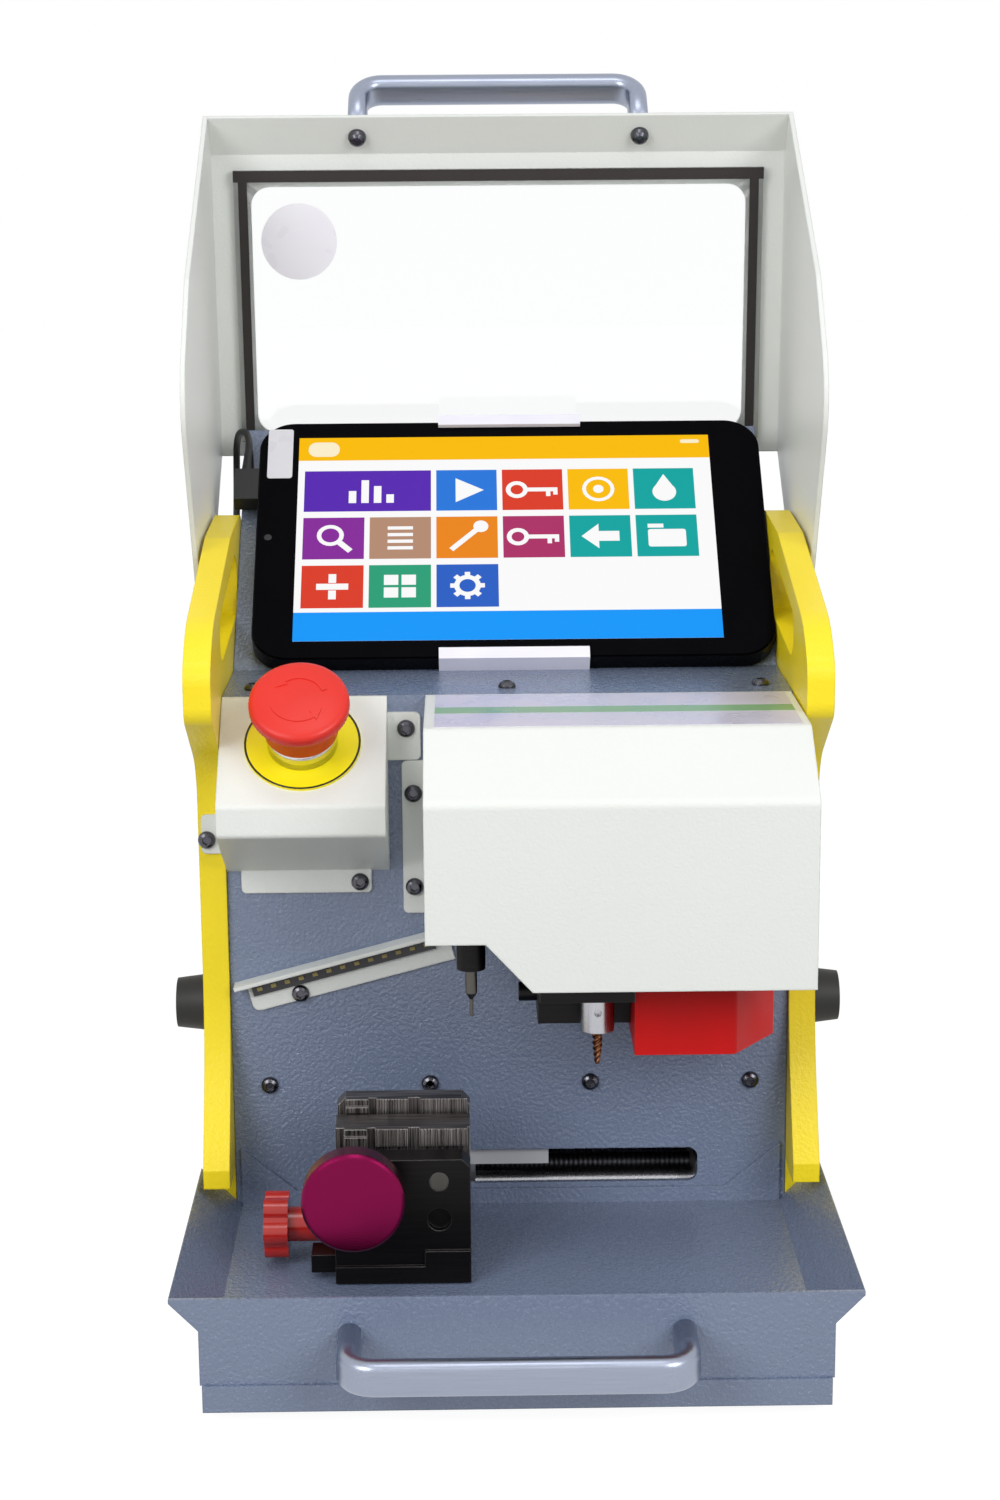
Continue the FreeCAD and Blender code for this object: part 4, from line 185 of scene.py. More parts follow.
def drawn_metal(name, colour, shade, along, line, roughness, lift=0.15, edge=0.3):
    """Metal with fine lines left by brushing or drawing; along is the axis the lines run on."""
    material, tree, shader = new_material(name, {"Metallic": 1.0})
    stretch = [per_metre(line)] * 3
    stretch["XYZ".index(along)] = per_metre(line * LINE_STRETCH)
    place = object_place(tree, Scale=stretch)
    lines = add(tree, "ShaderNodeTexNoise", {"Vector": place, "Scale": 1.0, "Detail": 3.0, "Roughness": 0.6})
    tint = add(tree, "ShaderNodeMix", {0: lines.outputs["Fac"], 6: linear(shade), 7: linear(colour)},
               data_type="RGBA")
    gloss = add(tree, "ShaderNodeMapRange", {0: lines.outputs["Fac"], 1: 0.25, 2: 0.75, 3: roughness - 0.07,
                                             4: roughness + 0.09})
    bump = add(tree, "ShaderNodeBump", {"Strength": lift, "Distance": line * 0.2 * MM,
                                        "Height": lines.outputs["Fac"], "Normal": soft_edge(tree, edge)})
    tree.links.new(tint.outputs[2], shader.inputs["Base Color"])
    tree.links.new(gloss.outputs[0], shader.inputs["Roughness"])
    tree.links.new(bump.outputs["Normal"], shader.inputs["Normal"])
    return material


# A wave texture of scale 1 has one wave in this many units
WAVE_LENGTH = math.pi / 10


def cut_metal(name, colour, shade, pitch, roughness, lift, edge, centre=(0, 0, 0), **wave):
    """Metal with regular tool marks: rings from facing on a lathe, or the turns of a thread."""
    material, tree, shader = new_material(name, {"Metallic": 1.0, "Roughness": roughness})
    place = object_place(tree, Location=[-value for value in centre])
    marks = add(tree, "ShaderNodeTexWave", {"Vector": place, "Scale": per_metre(pitch) * WAVE_LENGTH}, **wave)
    tint = add(tree, "ShaderNodeMix", {0: marks.outputs["Fac"], 6: linear(shade), 7: linear(colour)},
               data_type="RGBA")
    bump = add(tree, "ShaderNodeBump", {"Strength": lift, "Distance": pitch * 0.3 * MM,
                                        "Height": marks.outputs["Fac"], "Normal": soft_edge(tree, edge)})
    tree.links.new(tint.outputs[2], shader.inputs["Base Color"])
    tree.links.new(bump.outputs["Normal"], shader.inputs["Normal"])
    return material


def moulding(name, colour, shade, grain, lift, roughness, coat=0.0, specular=0.5):
    """Moulded plastic or rubber: a fine tool texture and slightly uneven gloss."""
    material, tree, shader = new_material(name, {"Coat Weight": coat, "Coat Roughness": CLEAR_ROUGHNESS,
                                                 "Specular IOR Level": specular})
    place = object_place(tree)
    skin = add(tree, "ShaderNodeTexNoise", {"Vector": place, "Scale": per_metre(grain), "Detail": 2.0})
    clouds = add(tree, "ShaderNodeTexNoise", {"Vector": place, "Scale": per_metre(MOULD_CLOUDS),
                                              "Detail": 2.0})
    tint = add(tree, "ShaderNodeMix", {0: clouds.outputs["Fac"], 6: linear(shade), 7: linear(colour)},
               data_type="RGBA")
    gloss = add(tree, "ShaderNodeMapRange", {0: clouds.outputs["Fac"], 1: 0.3, 2: 0.7, 3: roughness - 0.05,
                                             4: roughness + 0.06})
    bump = add(tree, "ShaderNodeBump",
               {"Strength": lift, "Distance": grain * 0.2 * MM, "Height": skin.outputs["Fac"]})
    tree.links.new(tint.outputs[2], shader.inputs["Base Color"])
    tree.links.new(gloss.outputs[0], shader.inputs["Roughness"])
    tree.links.new(bump.outputs["Normal"], shader.inputs["Normal"])
    return material


# Coarse hammered powder coat on the sheet steel: its pebbles catch the light as sparkle
GREY_COAT = powder_coat("hammered_grey_powder_coat", "#77849E", "#6F7C97", 1.5, 0.8, 0.26, 0.5)
# Finer powder coat on the hood, cover and boxes: an eggshell gloss
CREAM_COAT = powder_coat("fine_cream_powder_coat", "#EAEDE9", "#E5E8E4", 1.0, 0.5, 0.4)
# Smooth powder coat on the side plates: even, semi-gloss
YELLOW_COAT = powder_coat("smooth_yellow_powder_coat", "#FFE71E", "#FADF18", 1.6, 0.4, 0.34)
# Extruded aluminium, brushed along the bar and clear anodised: soft long highlights
BRUSHED_ALUMINIUM = drawn_metal("brushed_anodised_aluminium", "#A6ADBD", "#9097A9", "X", 0.35, 0.32)
# Milled aluminium plate: fine straight cutter lines
MILLED_ALUMINIUM = drawn_metal("milled_aluminium", "#C4C5C9", "#A8A9AE", "Y", 0.4, 0.36)
# Turned aluminium, dyed purple in the anodising: very fine rings round the middle of the knob's face
KNOB_FACE = (-58.3, -98.0, 66.4)
PURPLE_ANODISED = cut_metal("purple_anodised_aluminium", "#7E1646", "#76123F", 0.6, 0.26, 0.05, 1.4,
                            at(*KNOB_FACE), wave_type="RINGS", rings_direction="Y")
# Rolled trapezoidal thread on steel, greased: dull crests and dark roots
THREADED_STEEL = {axis: cut_metal(f"threaded_steel_{axis}", "#5E5F64", "#3A3B3F", 2.0, 0.45, 0.3, 0.2,
                                  wave_type="BANDS", bands_direction=axis) for axis in "XYZ"}
# Width and length in millimetres of the lines that wear follows, and how far the painted shade reaches out of
# a gap
WEAR_LINE = 0.45
WEAR_RUN = 30.0
PAINTED_SHADE_REACH = 3.0


def oxide_with_wear_and_painted_shade(name, colour, bare, along, wear):
    """Black oxide on tool steel: painted shade in the gaps, and bare metal along the cutter's lines and on
    edges, where it is also a painted highlight.
    """
    material, tree, shader = new_material(name, {"Metallic": 0.85, "Roughness": 0.4})
    lines = []
    for axis in ("X", along):
        stretch = [per_metre(WEAR_LINE)] * 3
        stretch["XYZ".index(axis)] = per_metre(WEAR_RUN)
        place = object_place(tree, Scale=stretch)
        lines.append(add(tree, "ShaderNodeTexNoise",
                         {"Vector": place, "Scale": 1.0, "Detail": 3.0}).outputs["Fac"])
    soft = soft_edge(tree, 0.5)
    normal = add(tree, "ShaderNodeNewGeometry").outputs["Normal"]
    upward = add(tree, "ShaderNodeMath", {0: add(tree, "ShaderNodeSeparateXYZ", {0: normal}).outputs["Z"]},
                 operation="ABSOLUTE")
    grain = add(tree, "ShaderNodeMix", {0: upward.outputs[0], 2: lines[1], 3: lines[0]})
    # Edges turn to bare metal: worn there, and also a painted highlight
    facing = add(tree, "ShaderNodeVectorMath", {0: soft, 1: normal}, operation="DOT_PRODUCT")
    edges = add(tree, "ShaderNodeMapRange", {0: facing.outputs["Value"], 1: 1.0, 2: 0.85, 3: 0.0, 4: 0.8})
    streaks = add(tree, "ShaderNodeMapRange", {0: grain.outputs[0], 1: 0.4, 2: 0.75, 3: 0.0, 4: wear})
    wear_and_edge_highlight = add(tree, "ShaderNodeMath", {0: edges.outputs[0], 1: streaks.outputs[0]}, operation="ADD",
                 use_clamp=True)
    # Painted shade: occlusion keeps gaps and hollows at the dark oxide colour, as shade would darken them
    gaps = add(tree, "ShaderNodeAmbientOcclusion", {"Distance": PAINTED_SHADE_REACH * MM}, samples=4)
    shaded_wear = add(tree, "ShaderNodeMath", {0: wear_and_edge_highlight.outputs[0], 1: gaps.outputs["AO"]}, operation="MULTIPLY")
    tint = add(tree, "ShaderNodeMix", {0: shaded_wear.outputs[0], 6: linear(colour), 7: linear(bare)},
               data_type="RGBA")
    tree.links.new(tint.outputs[2], shader.inputs["Base Color"])
    tree.links.new(soft, shader.inputs["Normal"])
    return material


# Hot black oxide on tool steel, oiled: near black, with thin bright edges that are worn metal and also a
# painted highlight, and painted shade in the gaps
BLACK_OXIDE = oxide_with_wear_and_painted_shade("black_oxide_tool_steel", "#1C1A1B", "#6B6766", "X", 0.04)
# The same on the jaws, worn by keys to a grey-brown along the milling lines, with painted shade in the gaps
# and a painted highlight on the edges
WORN_AND_SHADED_STEEL = oxide_with_wear_and_painted_shade("worn_tool_steel_with_painted_shade", "#363233", "#BDB7B4", "Z", 0.8)
# Oiled black screws: a hard glint on their rims
SCREW_STEEL = drawn_metal("oiled_screw_steel", "#636369", "#4A4A50", "X", 0.4, 0.2, 0.05, edge=0.4)
# Hardened steel pin: darker than the rods
HARDENED_STEEL = drawn_metal("hardened_steel", "#6A6762", "#4C4A47", "Z", 0.25, 0.36)
# Polished chrome plate on the switch's collar: a clean mirror
CHROME = drawn_metal("polished_chrome_plate", "#DADADC", "#CFCFD2", "Z", 0.3, 0.1, 0.02)
# Centreless ground steel rod: bright, with very fine lines
GROUND_STEEL = drawn_metal("ground_steel", "#C6C7CC", "#A3A4AA", "Z", 0.25, 0.26)
# Coated carbide: a brown film over bright metal
COATED_CARBIDE = drawn_metal("coated_carbide", "#8A5A3C", "#5E3B28", "Z", 0.3, 0.3)
# Moulded rubber: matt, slightly dusty
BLACK_RUBBER = moulding("moulded_black_rubber", "#1A1A1B", "#101011", 0.7, 0.3, 0.55)
# Closed-cell foam strip: open-pored black
BLACK_FOAM = moulding("closed_cell_foam", "#35302F", "#262221", 0.9, 0.8, 0.85)
# Nylon, ABS and acetal mouldings: fine spark texture
BLACK_ABS = moulding("spark_textured_black_abs", "#17181A", "#0E0E10", 0.5, 0.3, 0.45)
STOP_RED = moulding("semi_gloss_red_abs", "#E5342A", "#DC2B21", 0.9, 0.08, 0.36, specular=0.35)
KNOB_RED = moulding("gloss_red_nylon", "#CC2216", "#B8180E", 0.8, 0.1, 0.2, 0.4)
GUARD_RED = moulding("satin_red_abs", "#D61616", "#C61012", 0.6, 0.2, 0.45, specular=0.2)
CLIP_WHITE = moulding("gloss_white_abs", "#F1F0F8", "#E6E4F2", 0.8, 0.06, 0.2)
SHIELD_GREY = moulding("matt_grey_acetal", "#C9CACD", "#BBBCC0", 0.6, 0.2, 0.5)
# Flexible lamp strip: dark solder mask, and lamps under yellowish phosphor
LAMP_STRIP = moulding("dark_lamp_strip", "#3A3A3E", "#2C2C30", 0.7, 0.1, 0.4)
PHOSPHOR = moulding("lamp_phosphor", "#B3A362", "#9F9052", 0.5, 0.05, 0.4)
# Polyester film, printed in flat colours: smooth with a slight sheen
YELLOW_FILM = moulding("printed_yellow_film", "#FFF21C", "#FFEC12", 1.2, 0.05, 0.4, specular=0.3)
BLACK_FILM = moulding("printed_black_film", "#16161A", "#0E0E12", 1.2, 0.05, 0.35)
WHITE_FILM = moulding("printed_white_film", "#EFEEF4", "#E7E5EE", 1.5, 0.05, 0.3)
LILAC_FILM = moulding("pale_lilac_film", "#DAD6E6", "#CFCBDD", 1.5, 0.05, 0.28)
GREEN_FILM = moulding("printed_green_film", "#8DB88A", "#81AD7E", 1.5, 0.05, 0.3)
# Piano-black moulding and display glass: deep black under a clear gloss
PIANO_BLACK = moulding("piano_black_abs", "#0B0B0F", "#07070A", 1.0, 0.02, 0.2, specular=0.1)
DISPLAY_GLASS = moulding("coated_display_glass", "#07070B", "#050508", 2.0, 0.0, 0.12, specular=0.02)
# Solder mask on the control board and lacquer on the motors: satin, slightly uneven
BOARD_GREEN = moulding("green_solder_mask", "#1E6B3A", "#175A30", 0.8, 0.1, 0.35)
MOTOR_BLACK = moulding("black_lacquered_steel", "#1A1A1C", "#121214", 0.6, 0.15, 0.38)

# Cast acrylic sheet: clear, with a clean polished face
ACRYLIC, acrylic_tree, acrylic_shader = new_material("cast_acrylic", {
    "Base Color": linear("#FCFDFD"), "Roughness": 0.02, "IOR": 1.49, "Transmission Weight": 1.0})
haze = add(acrylic_tree, "ShaderNodeTexNoise", {"Vector": object_place(acrylic_tree), "Scale": per_metre(35)})
polish = add(acrylic_tree, "ShaderNodeMapRange", {0: haze.outputs["Fac"], 3: 0.0, 4: 0.04})
acrylic_tree.links.new(polish.outputs[0], acrylic_shader.inputs["Roughness"])

# Lit display: each patch glows in the colour that it carries
LIT_DISPLAY, lit_tree, lit_shader = new_material("lit_display", {
    "Base Color": linear("#0A0A0C"), "Roughness": 0.3, "Specular IOR Level": 0.03, "Emission Strength": 0.95})
patch = add(lit_tree, "ShaderNodeAttribute", attribute_name="patch_colour", attribute_type="GEOMETRY")
lit_tree.links.new(patch.outputs["Color"], lit_shader.inputs["Emission Color"])

NODE_MATERIALS = {
    GREY_COAT: "base_pan chip_tray work_panel rear_cover",
    CREAM_COAT: "spindle_cover estop_box light_bracket lid_shell",
    YELLOW_COAT: "side_frame_right side_frame_left",
    BRUSHED_ALUMINIUM: "lid_handle front_handle",
    MILLED_ALUMINIUM: "x_end_blocks x_carriage z_end_blocks motor_pulley y_arm",
    PURPLE_ANODISED: "clamp_knob",
    BLACK_OXIDE: "clamp_body spindle_head lid_pivot_pins panel_screws lid_handle_screws",
    WORN_AND_SHADED_STEEL: "clamp_fixed_jaw clamp_moving_jaw",
    GROUND_STEEL: "x_rods z_rods spindle estop_stem",
    HARDENED_STEEL: "probe_pin clamp_pin",
    THREADED_STEEL["X"]: "x_leadscrew",
    THREADED_STEEL["Y"]: "y_leadscrew",
    THREADED_STEEL["Z"]: "z_leadscrew",
    COATED_CARBIDE: "cutter",
    BLACK_RUBBER: "feet drive_belt bumpers",
    BLACK_FOAM: "window_gasket",
    BLACK_ABS: "power_inlet switch_case switch_rocker usb_plug usb_lead estop_switch",
    STOP_RED: "estop_button",
    KNOB_RED: "lock_knob",
    GUARD_RED: "guard_block",
    YELLOW_FILM: "estop_ring",
    CLIP_WHITE: "tablet_clips",
    PIANO_BLACK: "tablet_case",
    DISPLAY_GLASS: "tablet_glass",
    ACRYLIC: "lid_window",
    SHIELD_GREY: "slot_shield",
    LAMP_STRIP: "light_strip",
    BOARD_GREEN: "control_board",
    MOTOR_BLACK: "x_motor y_motor z_motor spindle_motor",
}
for material, names in NODE_MATERIALS.items():
    for name in names.split():
        for slot in bpy.data.objects[name].material_slots:
            slot.material = material


def keep(name, bm, materials, body, replaces=()):
    """Makes a piece from a mesh being edited, hangs it on the body it rides on, and hides the parts it stands
    for.
    """
    bmesh.ops.recalc_face_normals(bm, faces=bm.faces)
    mesh = bpy.data.meshes.new(name)
    bm.to_mesh(mesh)
    bm.free()
    made = bpy.data.objects.new(name, mesh)
    bpy.context.scene.collection.objects.link(made)
    for material in materials:
        mesh.materials.append(material)
    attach(made, body)
    if replaces:
        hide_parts(*replaces)
    return made


def prism(bm, plane, outline, low, high, index=0):
    """A closed slab on a plane with the given outline, between two heights."""
    rings = [[bm.verts.new(plane(across, up, out)) for across, up in outline] for out in (low, high)]
    count = len(outline)
    faces = [bm.faces.new(rings[0][::-1]), bm.faces.new(rings[1])]
    for k in range(count):
        faces.append(bm.faces.new((rings[0][k], rings[0][(k + 1) % count], rings[1][(k + 1) % count],
                                   rings[1][k])))
    for face in faces:
        face.material_index = index
    return faces


def rectangle(x0, x1, y0, y1):
    return [(x0, y0), (x1, y0), (x1, y1), (x0, y1)]


def round_rectangle(x0, x1, y0, y1, radius, steps=6):
    corners = [(x1 - radius, y0 + radius, -90), (x1 - radius, y1 - radius, 0),
               (x0 + radius, y1 - radius, 90), (x0 + radius, y0 + radius, 180)]
    return [(x + radius * math.cos(math.radians(start + 90 * k / steps)),
             y + radius * math.sin(math.radians(start + 90 * k / steps)))
            for x, y, start in corners for k in range(steps + 1)]


def disc(x, y, radius, count=32):
    return [(x + radius * math.cos(2 * math.pi * k / count), y + radius * math.sin(2 * math.pi * k / count))
            for k in range(count)]


def lathe(bm, place, profile, count, ripple=None):
    """A turned closed form: profile lists (radius, height) from the axis out and back to the axis."""
    rings = []
    for number, (radius, height) in enumerate(profile):
        if radius == 0:
            rings.append([bm.verts.new(place(0, 0, height))])
            continue
        ring = []
        for k in range(count):
            angle = 2 * math.pi * k / count
            reach = radius + (ripple(number, k) if ripple else 0)
            ring.append(bm.verts.new(place(reach * math.cos(angle), reach * math.sin(angle), height)))
        rings.append(ring)
    for first, second in zip(rings, rings[1:]):
        for k in range(count):
            corners = [first[k % len(first)], first[(k + 1) % len(first)], second[(k + 1) % len(second)],
                       second[k % len(second)]]
            corners = list(dict.fromkeys(corners))
            if len(corners) > 2:
                bm.faces.new(corners).smooth = True


# Display: a plain ground with two bands and a grid of tiles that carry simple signs
SCREEN_X = 1.2
SCREEN_UP = 60.7
SCREEN_HALF = (86.15, 53.85)
GLASS_TOP = 9.7
LAYER = 0.03
INKS = {
    "white": "#FFFFFF", "cream": "#FFF3CF", "amber": "#FFC000", "orange": "#F08A1C", "red": "#E0402A",
    "crimson": "#B0356A", "plum": "#8A2E9E", "violet": "#5B2BB5", "navy": "#2E63C8", "blue": "#2C7BE0",
    "sky": "#149BFF", "teal": "#12A8A4", "green": "#2FA37B", "tan": "#B98F76",
}
TILE_ROWS = [
    [("bars", "violet"), ("play", "blue"), ("blank_key", "red"), ("target", "amber"), ("drop", "teal")],
    [("lens", "plum"), ("sheet", "tan"), ("tool", "orange"), ("blank_key", "crimson"), ("arrow", "teal"),
     ("folder", "teal")],
    [("plus", "red"), ("window", "green"), ("cog", "navy")],
]
TILE_LEFT = -83.4
TILE_TOP = 35.4
TILE_PITCH = (27.4, 25.3)
TILE_SIZE = (25.2, 22.0)
SIGN_SCALE = 1.3
TOP_BAND = 12.6
FOOT_BAND = 14.5
STROKE_LAP = 1.25


def bar(x0, y0, x1, y1, width):
    """A straight stroke."""
    run = Vector((x1 - x0, y1 - y0)).normalized() * width / 2
    return [(x0 + run.y, y0 - run.x), (x1 + run.y, y1 - run.x), (x1 - run.y, y1 + run.x),
            (x0 - run.y, y0 + run.x)]


def ring_strokes(x, y, radius, width, count=20):
    """A ring of straight strokes that lap a little."""
    def spot(step):
        turn = 2 * math.pi * step / count
        return x + radius * math.cos(turn), y + radius * math.sin(turn)
    return [bar(*spot(k), *spot(k + STROKE_LAP), width) for k in range(count)]


def cog():
    turns = [Vector((math.cos(k * math.pi / 4), math.sin(k * math.pi / 4))) for k in range(8)]
    return ring_strokes(0, 0, 3.4, 1.6) + [bar(*turn * 2.8, *turn * 5.4, 1.7) for turn in turns]


SIGNS = {
    "blank_key": ring_strokes(-5, 0, 2.8, 1.5) + [bar(-2.4, 0, 8, 0, 1.6), bar(5, 0, 5, -2.8, 1.4),
                                                  bar(7.3, 0, 7.3, -2.2, 1.4)],
    "lens": ring_strokes(-1, 1.2, 3.6, 1.4) + [bar(1.6, -1.4, 5.4, -5.2, 2.0)],
    "cog": cog(),
    "arrow": [[(-6, 0), (-0.5, 5), (-0.5, 2), (6, 2), (6, -2), (-0.5, -2), (-0.5, -5)]],
    "sheet": [bar(-4, y, 4, y, 1.3) for y in (4, 1.3, -1.4, -4.1)],
    "folder": [round_rectangle(-6, 6, -4.5, 2.6, 0.8, 3), rectangle(-6, -1, 3.2, 4.8)],
    "bars": [rectangle(x, x + 2.4, -5, top) for x, top in ((-6, 0), (-2, 4.5), (2, 2), (6, -1.5))],
    "drop": [disc(0, -1.4, 3.8, 24), [(-3.2, 0.4), (3.2, 0.4), (0, 6)]],
    "target": ring_strokes(0, 0, 4.6, 1.2) + [disc(0, 0, 1.7, 16)],
    "plus": [rectangle(-5, 5, -1.2, 1.2), rectangle(-1.2, 1.2, -5, -1.5), rectangle(-1.2, 1.2, 1.5, 5)],
    "tool": [bar(-5, -5, 4, 4, 1.8), disc(4.4, 4.4, 2.4, 16)],
    "window": [rectangle(-5, -0.5, 0.5, 4.5), rectangle(0.5, 5, 0.5, 4.5), rectangle(-5, -0.5, -4.5, -0.5),
               rectangle(0.5, 5, -4.5, -0.5)],
    "play": [[(-3.5, -5), (5.5, 0), (-3.5, 5)]],
}


def on_screen(across, up, out):
    return on_desk(SCREEN_X + across, SCREEN_UP + up, GLASS_TOP + out)


screen = bmesh.new()
patches = []


def lit(outline, layer, ink):
    """Adds a glowing slab to the picture, on one of its layers."""
    for face in prism(screen, on_screen, outline, layer * LAYER, (layer + 1) * LAYER):
        patches.append((face, INKS[ink]))


half_x, half_y = SCREEN_HALF
lit(rectangle(-half_x, half_x, -half_y, half_y), 0, "white")
lit(rectangle(-half_x, half_x, half_y - TOP_BAND, half_y), 1, "amber")
lit(rectangle(-half_x, half_x, -half_y, -half_y + FOOT_BAND), 1, "sky")
for row, tiles in enumerate(TILE_ROWS):
    left = TILE_LEFT
    for column, (sign, ink) in enumerate(tiles):
        wide = TILE_PITCH[0] if row == column == 0 else 0
        x1 = left + TILE_SIZE[0] + wide
        y1 = TILE_TOP - row * TILE_PITCH[1]
        y0 = y1 - TILE_SIZE[1]
        lit(rectangle(left, x1, y0, y1), 1, ink)
        for stroke in SIGNS[sign]:
            lit([((left + x1) / 2 + SIGN_SCALE * x, (y0 + y1) / 2 + SIGN_SCALE * y) for x, y in stroke], 2,
                "white")
        left += TILE_PITCH[0] + wide
BAND_MARGIN = (4.0, 2.5)
BADGE_SIZE = (13.0, 8.0)
BADGE_CORNER = 3.5
GAUGE_SIZE = (8.0, 2.0)
GAUGE_CORNER = 0.9
band_top = half_y - BAND_MARGIN[1]
badge_left = BAND_MARGIN[0] - half_x
gauge_right = half_x - BAND_MARGIN[0]
badge = round_rectangle(badge_left, badge_left + BADGE_SIZE[0], band_top - BADGE_SIZE[1], band_top,
                        BADGE_CORNER)
gauge = round_rectangle(gauge_right - GAUGE_SIZE[0], gauge_right, band_top - GAUGE_SIZE[1], band_top,
                        GAUGE_CORNER)
lit(badge, 2, "cream")
lit(gauge, 2, "cream")
face_codes = dict(patches)
codes = [face_codes[face] for face in screen.faces]
display = keep("display_picture", screen, [LIT_DISPLAY], "frame")
colours = display.data.attributes.new("patch_colour", "FLOAT_COLOR", "FACE")
for number, code in enumerate(codes):
    colours.data[number].color = linear(code)

# Bare label and camera lens on the tablet's face
LABEL_EDGES = (-98.0, -87.5, 92.5, 119.5)
LABEL_CORNER = 1.2
LABEL_THICK = 0.1
LENS_X = -96.5
LENS_RADIUS = 1.6
LENS_THICK = 0.06
fittings = bmesh.new()
prism(fittings, on_desk, round_rectangle(*LABEL_EDGES, LABEL_CORNER), GLASS_TOP, GLASS_TOP + LABEL_THICK, 0)
prism(fittings, on_desk, disc(LENS_X, SCREEN_UP, LENS_RADIUS, 20), GLASS_TOP, GLASS_TOP + LENS_THICK, 1)
keep("tablet_label", fittings, [WHITE_FILM, BLACK_ABS], "frame")

# Sticker on the cover's top and a bare disc on the hood's window
STICKER_SIDES = (-27.5, 105.5)
STICKER_ENDS = (-59.5, -1.5)
STRIPE_ENDS = (-36.0, -25.0)
FILM_THICK = 0.15
INK_THICK = 0.05
DISC_SPOT = (-84.5, -36.5)
DISC_RADIUS = 16.0
PANE_TOP = LID_SHEET + 3.0
sticker = bmesh.new()
prism(sticker, on_ledge, rectangle(*STICKER_SIDES, *STICKER_ENDS), 0.0, FILM_THICK, 0)
prism(sticker, on_ledge, rectangle(*STICKER_SIDES, *STRIPE_ENDS), FILM_THICK, FILM_THICK + INK_THICK, 1)
keep("cover_sticker", sticker, [LILAC_FILM, GREEN_FILM], "frame")
bare_disc = bmesh.new()
prism(bare_disc, on_lid, disc(*DISC_SPOT, DISC_RADIUS, 48), PANE_TOP, PANE_TOP + FILM_THICK)
keep("window_disc", bare_disc, [WHITE_FILM], "lid")

# Emergency stop: mushroom with a milled rim and two raised arrows, chrome collar, and the border of its ring
STOP_X = -77.4
STOP_UP = -23.0
HEAD_BASE = 14.0
HEAD_PROFILE = [(0, 0), (13.55, 0), (13.55, -4.4), (14.0, -4.4), (14.0, 5.6), (14.4, 6.2), (17.2, 7.0),
                (18.2, 7.6), (18.7, 8.4), (18.7, 10.9), (18.4, 11.8), (17.6, 12.6), (16.2, 13.1), (12, 13.6),
                (6, 14.0), (0, 14.2)]
RIM_ROWS = {8, 9}
RIM_RIBS = 72
RIB_DEPTH = 0.2
CROWN = HEAD_PROFILE[10:]


def on_button(across, up, out):
    return on_stop(STOP_X + across, STOP_UP + up, out)


def on_head(across, up, out):
    return on_button(across, up, HEAD_BASE + out)


def on_crown(reach, turn, lift):
    """A place on the mushroom's crown, by distance from the axis, direction and lift off the crown."""
    height = next(low + (outer - reach) / (outer - inner) * (high - low)
                  for (outer, low), (inner, high) in zip(CROWN, CROWN[1:]) if inner <= reach <= outer)
    return on_head(reach * math.cos(turn), reach * math.sin(turn), height + lift)


def rim_ribs(row, k):
    """How far a point of the profile stands in or out: every other point of the rim stands in."""
    return -RIB_DEPTH if row in RIM_ROWS and k % 2 else 0


mushroom = bmesh.new()
lathe(mushroom, on_head, HEAD_PROFILE, RIM_RIBS * 2, rim_ribs)
ARROW_STARTS = (math.radians(20), math.radians(200))
ARROW_BAND = (9.0, 11.0)
ARROW_HEAD = (7.6, 12.4)
ARROW_TIP = 10.0
ARROW_STEPS = 13
ARROW_STEP = math.radians(8)
ARROW_POINT = math.radians(26)
ARROW_SINK = -0.3
ARROW_LIFT = 0.35
for start in ARROW_STARTS:
    sweep = [start + step * ARROW_STEP for step in range(ARROW_STEPS + 1)]
    for a, b in zip(sweep, sweep[1:]):
        prism(mushroom, on_crown, rectangle(*ARROW_BAND, a, b), ARROW_SINK, ARROW_LIFT)
    tip = sweep[-1]
    prism(mushroom, on_crown, [(ARROW_HEAD[0], tip), (ARROW_HEAD[1], tip), (ARROW_TIP, tip + ARROW_POINT)],
          ARROW_SINK, ARROW_LIFT)
keep("mushroom_head", mushroom, [STOP_RED], "stop_head", ["estop_button"])
BORDER_PROFILE = [(21.1, 0.6), (21.9, 0.6), (21.9, 1.06), (21.1, 1.06), (21.1, 0.6)]
SLEEVE_PROFILE = [(13.0, 1.02), (13.3, 1.02), (13.3, 8.6), (12.9, 9.05), (11.2, 9.05), (11.2, 8.6),
                  (13.0, 1.02)]
RING_SIDES = 64
border = bmesh.new()
lathe(border, on_button, BORDER_PROFILE, RING_SIDES)
keep("stop_ring_border", border, [BLACK_FILM], "frame")
sleeve = bmesh.new()
lathe(sleeve, on_button, SLEEVE_PROFILE, RING_SIDES)
keep("stop_collar_sleeve", sleeve, [CHROME], "frame")

# Lamps on the strip under the slanted bracket
LIGHT_FOOT = (-106.7, 117.7)
LIGHT_TILT = math.radians(14.8)
LAMP_FACE = 2.4
LAMP_HEIGHT = 0.5
LAMP_HALF = (1.0, 0.7)
LAMP_RISE = -2.8
LAMP_SINK = 0.05
LAMP_FIRST = 9.0
LAMP_PITCH = 5.6
LAMP_COUNT = 13


def on_light(run, rise, out):
    return at(LIGHT_FOOT[0] + run * math.cos(LIGHT_TILT) - rise * math.sin(LIGHT_TILT), -out,
              LIGHT_FOOT[1] + run * math.sin(LIGHT_TILT) + rise * math.cos(LIGHT_TILT))


